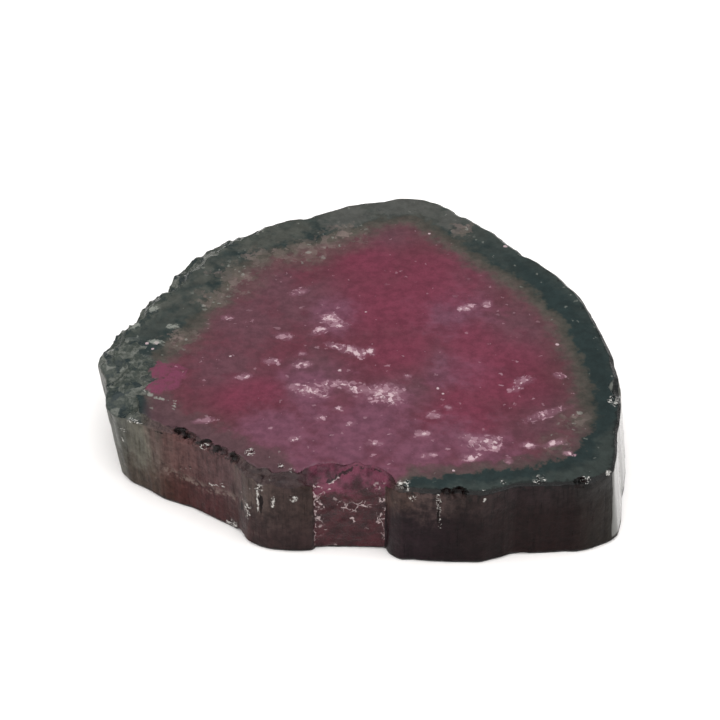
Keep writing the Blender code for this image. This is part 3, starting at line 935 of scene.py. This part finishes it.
def zoning_group():
    """Colour of the crystal itself. Zone runs through the colour bands, shaken by blotches so that they fade
    into each other. Soft spots of crimson, dusky red and mauve cloud the core, and pale patches the rind."""
    tree, given, result = new_group("tourmaline_zoning", ["Place", *TONES], ["Color"])
    place = given["Place"]
    x, y, _ = parts_of(tree, place)
    blotches = noise(tree, place, 0.9, 3.0, 0.6)
    crumbs = noise(tree, place, 2.4, 4.0, 0.65)
    drift = noise(tree, place, 0.42, 4.0, 0.62)

    front_right = within(tree, (y, -7.0, -9.0), (x, 1.5, 3.0))
    front_left = within(tree, (y, -4.0, -6.0), (x, -1.2, -3.2), (x, -12.0, -11.0))
    by_notch = within(tree, (apart(tree, x, NOTCH_X), 3.4, 2.0), (y, -8.5, -10.0))
    zone = shaken(tree, given["Zone"], (blotches, 1.5), (crumbs, 1.2))
    zone = product(tree, zone, raised(tree, front_right, 0.8, 1.0))
    zone = total(tree, zone, product(tree, front_left, 0.7), product(tree, by_notch, 2.0))
    tint = ramp_over(tree, zone, ZONE_REACH, ZONES)

    inner = share_of(tree, zone, 0.2, 1.3)
    waver = shaken(tree, 0.0, (drift, 3.2), (crumbs, 1.2))
    for tone, shade, strength in CLOUDS:
        cloud = share_of(tree, total(tree, given[tone], waver), 1.9, 0.2)
        tint = laid_over(tree, tint, shade, cloud, strength, inner)
        waver = product(tree, waver, -1.0)

    rind = share_of(tree, zone, -0.3, -1.0)
    back = within(tree, (x, 10.5, 3.0), (y, -4.0, 4.0), (blotches, 0.3, 0.6))
    tint = laid_over(tree, tint, PALE_RIND, back, rind)
    pale = shaken(tree, given["Pale"], (crumbs, 2.0))
    tint = laid_over(tree, tint, PALE_RIM, share_of(tree, pale, 1.3, 0.4), rind, 0.9)
    tint = laid_over(tree, tint, DULL_MAUVE, front_left, share_of(tree, zone, 1.2, 0.2), 0.9)
    band = share_of(tree, apart(tree, zone, 0.1), 0.9, 0.3)
    tint = laid_over(tree, tint, DULL_MAUVE, band, front_right, 0.55)

    rosy = shaken(tree, given["Olive"], (crumbs, 2.0))
    tint = laid_over(tree, tint, ROSY_BEIGE, share_of(tree, rosy, 2.7, 1.3), inner, 0.7)
    cell, tone = cell_values(tree, ragged_cells(tree, place, 2.3))
    olive = share_of(tree, shaken(tree, given["Olive"], (cell, 1.3), (crumbs, 3.0)), 1.25, 0.85)
    patch = mixed(tree, tone, OLIVE_PATCH, BEIGE_PATCH)
    tint = laid_over(tree, tint, patch, olive, raised(tree, cell, 0.6, 0.2))
    right = within(tree, (x, 6.0, 10.0), (y, 1.0, -4.0))
    tint = vector_math(tree, "SCALE", tint, Scale=raised(tree, right, -0.12, 1.0))
    cloudy = noise(tree, place, 1.7, 6.0, 0.68)
    tint = shaded(tree, tint, share_of(tree, cloudy, 0.3, 0.7), 0.8)
    return closed(tree, result, Color=tint)


def fleck_group():
    """Scattered specks: a share of the cells of about Spacing have one ragged speck of radius about Size."""
    tree, given, result = new_group("crystal_flecks", ["Place", "Spacing", "Size", "Share"], ["Mask"])
    scale = math(tree, "DIVIDE", 1.0, given["Spacing"])
    cells = ragged_cells(tree, given["Place"], scale, 5.0, 0.42)
    chance, size = cell_values(tree, cells)
    kept = math(tree, "LESS_THAN", chance, given["Share"])
    radius = product(tree, given["Size"], scale, total(tree, size, 0.25))
    speck = share_of(tree, math(tree, "DIVIDE", cells["Distance"], radius), 1.0, 0.6)
    return closed(tree, result, Mask=product(tree, kept, speck))


def crack_group():
    """A net of hair cracks: the borders between cells of about Spacing, kept where a noise is above Gap."""
    tree, given, result = new_group("hair_cracks", ["Place", "Spacing", "Width", "Gap"], ["Mask"])
    place, gap = given["Place"], given["Gap"]
    scale = math(tree, "DIVIDE", 1.0, given["Spacing"])
    borders = ragged_cells(tree, place, scale, 2.5, 0.45, feature="DISTANCE_TO_EDGE")["Distance"]
    line = share_of(tree, borders, product(tree, given["Width"], scale), 0.0)
    kept = share_of(tree, noise(tree, place, 1.6, 4.0, 0.7), gap, total(tree, gap, 0.06))
    return closed(tree, result, Mask=product(tree, line, kept))


def streak_group():
    """Streaks up a wall, about 0 to 1: noise stretched along Z, of two widths."""
    tree, given, result = new_group("growth_streaks", ["Place"], ["Broad", "Fine"])
    broad = noise(tree, stretched(tree, given["Place"], (1.3, 1.3, 0.22)), 1.0, 4.0, 0.6)
    fine = noise(tree, stretched(tree, given["Place"], (5.0, 5.0, 0.5)), 1.0, 3.0, 0.6)
    return closed(tree, result, Broad=broad, Fine=fine)


def mark_group():
    """Chipped places, where a noise makes bright and dark bits side by side, and black holes. The bright bits
    are painted glints, and the dark bits and the holes are painted shadow.
    """
    tree, given, result = new_group("rim_marks", ["Place", "Chipped", "Holed"], ["Dark", "Light"])
    ragged = noise(tree, given["Place"], 3.4, 4.0, 0.7, 0.6)
    bits = noise(tree, given["Place"], 5.5, 3.0, 0.7, 0.8)
    inside = share_of(tree, shaken(tree, given["Chipped"], (ragged, 2.4)), 1.3, 0.85)
    # Painted glints on the bright bits, and painted shadow on the dark bits and in the holes.
    light = product(tree, inside, share_of(tree, bits, 0.53, 0.59))
    shadowed_bits = product(tree, inside, share_of(tree, bits, 0.46, 0.40), 0.8)
    hole_shadow = share_of(tree, shaken(tree, given["Holed"], (ragged, 3.0)), 1.15, 0.85)
    return closed(tree, result, Dark=math(tree, "MAXIMUM", hole_shadow, shadowed_bits), Light=light)


def scratch_group(name, masks):
    """Masks of single scratches. For each: its scratches and how far they reach, in their half widths.

    The place is moved by a noise, less the noise's middle, so that straight scratches become ragged, and
    another noise makes their width uneven.
    """
    tree, given, result = new_group(name, ["Place"], list(masks))
    ragged = ragged_place(tree, given["Place"], 4.0, SCRATCH_FRAY)
    ragged = vector_math(tree, "SUBTRACT", ragged, [SCRATCH_FRAY / 2] * 3)
    uneven = noise(tree, given["Place"], 5.0, 3.0, 0.7)
    made = {}
    for label, (scratches, reach) in masks.items():
        away = smallest(tree, *(scratch_distance(tree, ragged, *scratch) for scratch in scratches))
        made[label] = share_of(tree, shaken(tree, away, (uneven, 3.0)), reach, 0.8)
    return closed(tree, result, **made)


# ---------------------------------------------------------------- materials

# Colours along the ridged wall, high up and near the foot, from left to right: x and colour.
WALL_REACH = 14.0
WALL_HIGH = stops(
    (-13.2, 0.066, 0.068, 0.060), (-12.0, 0.076, 0.070, 0.054), (-11.2, 0.078, 0.053, 0.046),
    (-10.2, 0.080, 0.040, 0.037), (-8.6, 0.064, 0.030, 0.030), (-7.2, 0.060, 0.032, 0.033),
    (-5.8, 0.054, 0.038, 0.033), (-4.2, 0.036, 0.023, 0.021), (-3.0, 0.028, 0.017, 0.015),
    (2.0, 0.046, 0.028, 0.024), (3.4, 0.046, 0.030, 0.028), (5.2, 0.022, 0.014, 0.013),
    (8.0, 0.013, 0.007, 0.008), (10.8, 0.012, 0.008, 0.008), (12.8, 0.014, 0.014, 0.013),
)
WALL_LOW = stops(
    (-13.0, 0.050, 0.047, 0.037), (-12.4, 0.044, 0.034, 0.026), (-11.5, 0.042, 0.024, 0.018),
    (-10.3, 0.037, 0.012, 0.010), (-8.2, 0.040, 0.012, 0.013), (-6.4, 0.032, 0.013, 0.013),
    (-4.9, 0.024, 0.014, 0.014), (-3.0, 0.022, 0.012, 0.012), (2.4, 0.012, 0.006, 0.008),
    (4.2, 0.007, 0.003, 0.004), (7.6, 0.009, 0.004, 0.004), (10.8, 0.008, 0.003, 0.003),
    (13.1, 0.010, 0.008, 0.006),
)
BACK_DARK = colour(0.011, 0.019, 0.018)
BACK_PALE = colour(0.027, 0.033, 0.028)
SKIN_LINE = colour(0.16, 0.13, 0.11)
# Painted shadow: the dark line along the rim, just under it, and along the foot.
RIM_SHADOW_LINE = colour(0.005, 0.005, 0.005)
END_GREY = colour(0.070, 0.070, 0.063)
# Painted shadow: the near black of the holes, of the dark bits in chips, and of the notch's dark cracks.
HOLE_SHADOW = colour(0.004, 0.001, 0.001)
# Painted glints on the bright bits of chips. The pale wall scratches take this colour too.
GLINT = colour(0.55, 0.53, 0.50)
# Facets of the broken rind: dark, grey-green and pale.
BREAK_TINTS = stops((0.2, 0.016, 0.024, 0.025), (0.55, 0.040, 0.047, 0.039), (0.95, 0.125, 0.130, 0.115))
NOTCH_PINK = colour(0.076, 0.016, 0.031)
NOTCH_MAROON = colour(0.034, 0.006, 0.009)
NOTCH_LINE = colour(0.42, 0.33, 0.33)
TOURMALINE_IOR = 1.62
# Gloss of the end face and of the back, and its roughness.
END_GLOSS = 0.78
BACK_GLOSS = 0.3
GLOSS_ROUGHNESS = 0.1
# The pale arc on the front wall is lowest here, and rises by this much times the squared distance from there.
ARC_X = -8.8
ARC_Z = 2.3
ARC_RISE = 0.1
# Depths of the bump maps, in metres.
SAW_DEPTH = 0.00002
SKIN_DEPTH = 0.00005
CRUMB_DEPTH = 0.00004


def start_material(name, specular):
    """A material, its nodes, its Principled node, and the place on the crystal in millimetres."""
    material = bpy.data.materials.new(name)
    material.use_nodes = True
    tree = material.node_tree
    shader = tree.nodes["Principled BSDF"]
    shader.inputs["IOR"].default_value = TOURMALINE_IOR
    shader.inputs["Specular IOR Level"].default_value = specular
    here = put(tree, "ShaderNodeTexCoord", {}).outputs["Object"]
    return material, tree, shader, vector_math(tree, "SCALE", here, Scale=1 / MM)


def finish_material(tree, shader, tint, rough, relief, depth):
    """Feeds the shader its colour and roughness, and a bump of that depth in metres."""
    tree.links.new(tint, shader.inputs["Base Color"])
    tree.links.new(rough, shader.inputs["Roughness"])
    bump = put(tree, "ShaderNodeBump", {"Height": relief, "Distance": depth, "Strength": 1.0})
    tree.links.new(bump.outputs["Normal"], shader.inputs["Normal"])


def stored(tree, name):
    """The mesh's own value of that name."""
    return put(tree, "ShaderNodeAttribute", {}, attribute_name=name).outputs["Fac"]


def zoned(tree, groups, place):
    """The crystal's own colour at this place."""
    tones = {tone: stored(tree, tone.lower()) for tone in TONES}
    return use(tree, groups["zoning"], Place=place, **tones)["Color"]


def flecked(tree, groups, place, spacing, size, share):
    """1 on scattered specks: a share of the cells of this spacing have one of about this radius."""
    return use(tree, groups["flecks"], Place=place, Spacing=spacing, Size=size, Share=share)["Mask"]


def marked(tree, groups, place, tint):
    """The tint with the rim's and the walls' chips and holes on it, as painted glints and painted shadow."""
    chipped, holed = stored(tree, "chipped"), stored(tree, "holed")
    marks = use(tree, groups["marks"], Place=place, Chipped=chipped, Holed=holed)
    tint = laid_over(tree, tint, GLINT, marks["Light"], 0.8)
    return mixed(tree, marks["Dark"], tint, HOLE_SHADOW)


def rough_tint(tree, place, crumbs):
    """Colour of green rind where it broke: ragged cells of dark, grey-green and pale facets."""
    cell, _ = cell_values(tree, ragged_cells(tree, place, 1.9))
    return ramp(tree, shaken(tree, raised(tree, cell, 0.7, 0.15), (crumbs, 1.6)), BREAK_TINTS)


def rim_shadow_side(tree, x, y):
    """1 along the front and the right, where a dark line of painted shadow is laid along the rim."""
    front = within(tree, (y, -4.0, -7.0), (x, -11.8, -10.6))
    return math(tree, "MAXIMUM", front, share_of(tree, x, 8.5, 11.5))


def sawn_face(groups):
    """The flat sawn faces: zoned and clouded, with saw grain, and veils of cracks near the upper face."""
    material, tree, shader, place = start_material("sawn_face", 0.16)
    x, y, z = parts_of(tree, place)
    upper = share_of(tree, z, 3.5, 4.5)
    inner = share_of(tree, stored(tree, "zone"), -0.1, 0.6)
    edge = stored(tree, "edge")
    crumbs = noise(tree, place, 2.8, 4.0, 0.7)
    fine = noise(tree, place, 7.5, 3.0, 0.65)
    tint = zoned(tree, groups, place)

    # The pink knob at the left, and the veils near the upper face: a haze, and on it flakes and their glare,
    # a painted highlight.
    knob = share_of(tree, shaken(tree, stored(tree, "knob"), (crumbs, 1.6)), 1.15, 0.85)
    tint = laid_over(tree, tint, KNOB, knob, upper, share_of(tree, crumbs, 0.25, 0.6))
    veil = shaken(tree, stored(tree, "veil"), (crumbs, 2.4))
    tint = laid_over(tree, tint, HAZE, share_of(tree, veil, 1.9, 0.7), upper, 0.55)
    flake, tone = cell_values(tree, ragged_cells(tree, place, 3.6))
    bright = share_of(tree, shaken(tree, veil, (flake, 1.4), (fine, 1.2)), 1.0, 0.7)
    tint = laid_over(tree, tint, VEIL, bright, upper, raised(tree, tone, 0.7, 0.1))
    glare = share_of(tree, shaken(tree, veil, (tone, -1.4), (fine, 1.6)), 0.3, 0.0)
    tint = laid_over(tree, tint, PINK_GLINT, glare, upper, 0.7)

    # Flecks: pink ones in the core, more of them in front, grey ones on the rind and the olive band.
    bits = flecked(tree, groups, stretched(tree, place, (0.8, 1.2, 1.0)), 0.62, 0.13, 0.2)
    bits = product(tree, bits, raised(tree, share_of(tree, y, 4.0, -5.0), 0.4, 0.1))
    grains = product(tree, flecked(tree, groups, place, 0.3, 0.1, 0.08), 0.3)
    tint = laid_over(tree, tint, VEIL, math(tree, "MAXIMUM", bits, grains), inner)
    tint = laid_over(tree, tint, GREY_FLECK, grains, rest_of(tree, inner))
    beige = flecked(tree, groups, place, 0.42, 0.17, 0.32)
    banded = share_of(tree, shaken(tree, stored(tree, "olive"), (crumbs, 1.5)), 2.0, 1.1)
    tint = laid_over(tree, tint, GREY_FLECK, beige, banded, 0.4)
    # Painted highlights: single bright glints on the upper face.
    speck = share_of(tree, shaken(tree, nearest_spot(tree, place, GLINT_SPECKS), (fine, 2.5)), 1.2, 0.8)
    tint = laid_over(tree, tint, PINK_GLINT, speck, upper, 0.7)

    # The rim: rough at the left end, with pale veins, and a dark line of painted shadow in front and at the
    # right.
    left = within(tree, (x, -5.5, -8.0), (y, -6.5, -5.0))
    worn = share_of(tree, shaken(tree, edge, (crumbs, 2.5)), 1.7, 0.7)
    tint = laid_over(tree, tint, rough_tint(tree, place, crumbs), worn, left, 0.9)
    vein = share_of(tree, shaken(tree, stored(tree, "vein"), (crumbs, 2.5), (fine, 2.0)), 1.1, 0.6)
    tint = laid_over(tree, tint, GREY_FLECK, vein, upper, 0.6)
    # Painted shadow: a dark line along the rim's edge in front and at the right.
    rim = share_of(tree, shaken(tree, edge, (crumbs, 0.9)), 0.3, 0.1)
    beside_notch = share_of(tree, apart(tree, x, NOTCH_X), 2.0, 2.4)
    tint = laid_over(tree, tint, RIM_SHADOW_LINE, rim, rim_shadow_side(tree, x, y), beside_notch, 0.6)
    tint = marked(tree, groups, place, tint)

    saw = noise(tree, stretched(tree, place, (1.2, 22.0, 1.0), 17.0), 1.0)
    relief = weighted(tree, (saw, 0.25), (fine, 0.3))
    finish_material(tree, shader, tint, raised(tree, fine, 0.16, 0.16), relief, SAW_DEPTH)
    return material


def striated_skin(groups):
    """The grown walls: olive at the left, brown and then near black towards the right, darker and more maroon
    low down, dark green behind, streaked upwards. The end face at the right is smooth and glossy."""
    material, tree, shader, place = start_material("striated_skin", 0.05)
    x, y, z = parts_of(tree, place)
    streaks = use(tree, groups["streaks"], Place=place)
    broad, fine = streaks["Broad"], streaks["Fine"]
    blotches = noise(tree, place, 0.9, 4.0, 0.65)
    crumbs = noise(tree, place, 2.8, 5.0, 0.7)
    front = share_of(tree, y, 1.0, -2.5)

    along = shaken(tree, x, (broad, 2.6))
    up = shaken(tree, z, (blotches, 3.6), (crumbs, 1.6))
    up = total(tree, up, product(tree, share_of(tree, x, 0.0, 2.0), -1.4))
    low = ramp_over(tree, along, WALL_REACH, WALL_LOW)
    high = ramp_over(tree, along, WALL_REACH, WALL_HIGH)
    tint = mixed(tree, share_of(tree, up, 1.2, 3.4), low, high)

    # The pale arc, broken up by crumbs and faded towards its ends.
    squared = math(tree, "POWER", math(tree, "SUBTRACT", x, ARC_X), 2.0)
    above_arc = math(tree, "SUBTRACT", z, raised(tree, squared, ARC_RISE, ARC_Z))
    above_arc = shaken(tree, above_arc, (crumbs, 2.2))
    line = share_of(tree, math(tree, "ABSOLUTE", above_arc), 0.3, 0.05)
    middle = share_of(tree, apart(tree, x, -8.6), 3.2, 1.4)
    tint = laid_over(tree, tint, SKIN_LINE, line, middle, share_of(tree, crumbs, 0.4, 0.6), 0.45)

    # Green behind, and streaked and blotched all over.
    behind = mixed(tree, share_of(tree, broad, 0.42, 0.62), BACK_DARK, BACK_PALE)
    tint = mixed(tree, front, behind, tint)
    shade = weighted(tree, (fine, 0.3), (crumbs, 0.4), (blotches, 0.3))
    tint = shaded(tree, tint, share_of(tree, shade, 0.37, 0.63), 0.55)

    # Specks, painted shadow under the rim and along the foot, scratches, chips, and the grey end face.
    bits = flecked(tree, groups, stretched(tree, place, (1.4, 1.4, 0.7)), 0.5, 0.13, 0.06)
    tint = laid_over(tree, tint, SKIN_LINE, bits, share_of(tree, x, 8.0, -4.0), 0.5)
    # Painted shadow under the rim at the left front, and along the foot in front.
    shadow_under_rim = share_of(tree, shaken(tree, stored(tree, "depth"), (crumbs, 2.2)), 0.42, 0.12)
    tint = laid_over(tree, tint, RIM_SHADOW_LINE, shadow_under_rim, share_of(tree, x, -12.0, -9.0), 0.75)
    foot = share_of(tree, shaken(tree, z, (crumbs, 0.6)), 0.34, 0.08)
    tint = laid_over(tree, tint, RIM_SHADOW_LINE, foot, front, 0.7)
    tint = laid_over(tree, tint, GLINT, use(tree, groups["wall_scratches"], Place=place)["Pale"], 0.65)
    tint = marked(tree, groups, place, tint)
    polished = share_of(tree, shaken(tree, stored(tree, "polished"), (fine, 0.9)), 0.35, 0.65)
    tint = mixed(tree, polished, tint, END_GREY)

    end_gloss = product(tree, polished, END_GLOSS)
    back_gloss = product(tree, rest_of(tree, front), BACK_GLOSS)
    tree.links.new(math(tree, "MAXIMUM", end_gloss, back_gloss), shader.inputs["Coat Weight"])
    shader.inputs["Coat Roughness"].default_value = GLOSS_ROUGHNESS
    relief = product(tree, weighted(tree, (fine, 0.35), (crumbs, 0.7)), rest_of(tree, polished))
    finish_material(tree, shader, tint, raised(tree, fine, 0.22, 0.2), relief, SKIN_DEPTH)
    return material


def fresh_break(groups):
    """The broken rim, the rough corner and the notch: a patchwork of dark and pale facets, brown along the
    front and pink in the notch, with a net of white hair cracks down its sides."""
    material, tree, shader, place = start_material("fresh_break", 0.14)
    x, y, z = parts_of(tree, place)
    notch, broken = stored(tree, "notch"), stored(tree, "broken")
    blotches = noise(tree, place, 1.3, 5.0, 0.65)
    crumbs = noise(tree, place, 2.8, 4.0, 0.7)

    # Facets of green rind, browner along the front, with a dark line of painted shadow where the rim is
    # whole.
    own = zoned(tree, groups, place)
    tint = mixed(tree, raised(tree, broken, 0.6, 0.3), own, rough_tint(tree, place, crumbs))
    brown = shaded(tree, ramp_over(tree, x, WALL_REACH, WALL_HIGH), share_of(tree, crumbs, 0.35, 0.65), 0.4)
    brown = mixed(tree, 0.2, vector_math(tree, "SCALE", brown, Scale=0.55), own)
    tint = mixed(tree, within(tree, (y, -4.0, -7.0), (x, -12.6, -11.4)), tint, brown)
    unbroken = rest_of(tree, broken)
    tint = laid_over(tree, tint, RIM_SHADOW_LINE, unbroken, rim_shadow_side(tree, x, y), share_of(tree, x, 1.5, 3.0), 0.8)
    # The notch, pink above and maroon below.
    near_notch = within(tree, (apart(tree, x, -0.72), 2.3, 1.9), (y, -6.0, -8.0))
    near_notch = math(tree, "MAXIMUM", near_notch, notch)
    height = share_of(tree, shaken(tree, z, (blotches, 3.0)), 3.7, 4.7)
    pink = mixed(tree, height, NOTCH_MAROON, NOTCH_PINK)
    pink = shaded(tree, pink, share_of(tree, blotches, 0.35, 0.65), 0.55)
    tint = mixed(tree, near_notch, tint, pink)

    # Specks, partly painted glints of the facets, the net of cracks, scratches and chips.
    bits = flecked(tree, groups, place, 0.42, 0.16, 0.1)
    tint = laid_over(tree, tint, mixed(tree, near_notch, GREY_FLECK, NOTCH_LINE), bits, 0.4)
    net = stretched(tree, place, (1.0, 1.0, 0.8))
    cracks = use(tree, groups["cracks"], Place=net, Spacing=0.5, Width=0.035, Gap=0.46)["Mask"]
    cracked = share_of(tree, shaken(tree, stored(tree, "cracked"), (crumbs, 3.0)), 1.5, 0.8)
    tint = laid_over(tree, tint, NOTCH_LINE, cracks, notch, cracked, 0.8)
    lines = use(tree, groups["notch_scratches"], Place=place)
    tint = laid_over(tree, tint, NOTCH_LINE, lines["Pale"], 0.85)
    # Painted shadow in the notch's dark cracks.
    tint = laid_over(tree, tint, HOLE_SHADOW, lines["Dark"], 0.85)
    tint = marked(tree, groups, place, tint)

    relief = noise(tree, place, 6.0, 4.0, 0.7)
    finish_material(tree, shader, tint, raised(tree, crumbs, 0.25, 0.14), relief, CRUMB_DEPTH)
    return material


# ---------------------------------------------------------------- floor, light and camera

FLOOR_SIZE = 1.2
FLOOR_COLOUR = colour(0.99, 0.965, 0.95)
FLOOR_ROUGHNESS = 0.8
WORLD_STRENGTH = 0.27

# Soft boxes: name, place, size and power in watts. Each faces the slab.
LIGHTS = [
    ("overhead_box", (0.02, 0.0, 0.36), 0.45, 1.4),
    ("left_box", (-0.30, -0.10, 0.22), 0.34, 0.6),
    ("right_box", (0.30, -0.10, 0.22), 0.34, 0.55),
    ("front_box", (0.0, -0.34, 0.24), 0.36, 0.6),
]

# The camera looks along +Y and down, at a point on the floor under the slab.
CAMERA_TARGET = Vector((-0.000154, 0.003818, 0.0))
CAMERA_PITCH = np.radians(40)
CAMERA_DISTANCE = 0.133
CAMERA_VIEW = np.radians(18)
CAMERA_NEAR = 0.001


def pale_floor():
    half = FLOOR_SIZE / 2
    corners = [(-half, -half, 0), (half, -half, 0), (half, half, 0), (-half, half, 0)]
    mesh = bpy.data.meshes.new("floor")
    mesh.from_pydata(corners, [], [(0, 1, 2, 3)])
    material = bpy.data.materials.new("floor")
    material.use_nodes = True
    shader = material.node_tree.nodes["Principled BSDF"]
    shader.inputs["Base Color"].default_value = FLOOR_COLOUR
    shader.inputs["Roughness"].default_value = FLOOR_ROUGHNESS
    mesh.materials.append(material)
    return placed("floor", mesh)


def aimed(thing, place, way):
    """Puts a lamp or camera at the place, turned to look that way."""
    thing.location = place
    thing.rotation_euler = way.to_track_quat("-Z", "Y").to_euler()
    return thing


def studio_light():
    for name, place, size, power in LIGHTS:
        light = bpy.data.lights.new(name, "AREA")
        light.size = size
        light.energy = power
        aimed(placed(name, light), place, -Vector(place))
    world = bpy.data.worlds.new("studio")
    world.use_nodes = True
    background = world.node_tree.nodes["Background"]
    background.inputs["Color"].default_value = colour(1.0, 1.0, 1.0)
    background.inputs["Strength"].default_value = WORLD_STRENGTH
    bpy.context.scene.world = world
    bpy.context.scene.view_settings.view_transform = "Standard"


def aimed_camera():
    away = Vector((0.0, -np.cos(CAMERA_PITCH), np.sin(CAMERA_PITCH))) * CAMERA_DISTANCE
    data = bpy.data.cameras.new("camera")
    data.sensor_fit = "HORIZONTAL"
    data.angle = CAMERA_VIEW
    data.clip_start = CAMERA_NEAR
    bpy.context.scene.camera = aimed(placed("camera", data), CAMERA_TARGET + away, -away)


def main():
    aimed_camera()
    studio_light()
    pale_floor()
    groups = {
        "zoning": zoning_group(),
        "flecks": fleck_group(),
        "cracks": crack_group(),
        "streaks": streak_group(),
        "marks": mark_group(),
        "wall_scratches": scratch_group("wall_scratches", {"Pale": (WALL_SCRATCHES, 1.4)}),
        "notch_scratches": scratch_group(
            "notch_scratches", {"Pale": (NOTCH_SCRATCHES, 1.4), "Dark": (NOTCH_CRACKS, 1.6)}),
    }
    slab = slab_piece([sawn_face(groups), striated_skin(groups), fresh_break(groups)])
    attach(slab, "root")
    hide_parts(SLAB)


main()
bpy.context.view_layer.update()
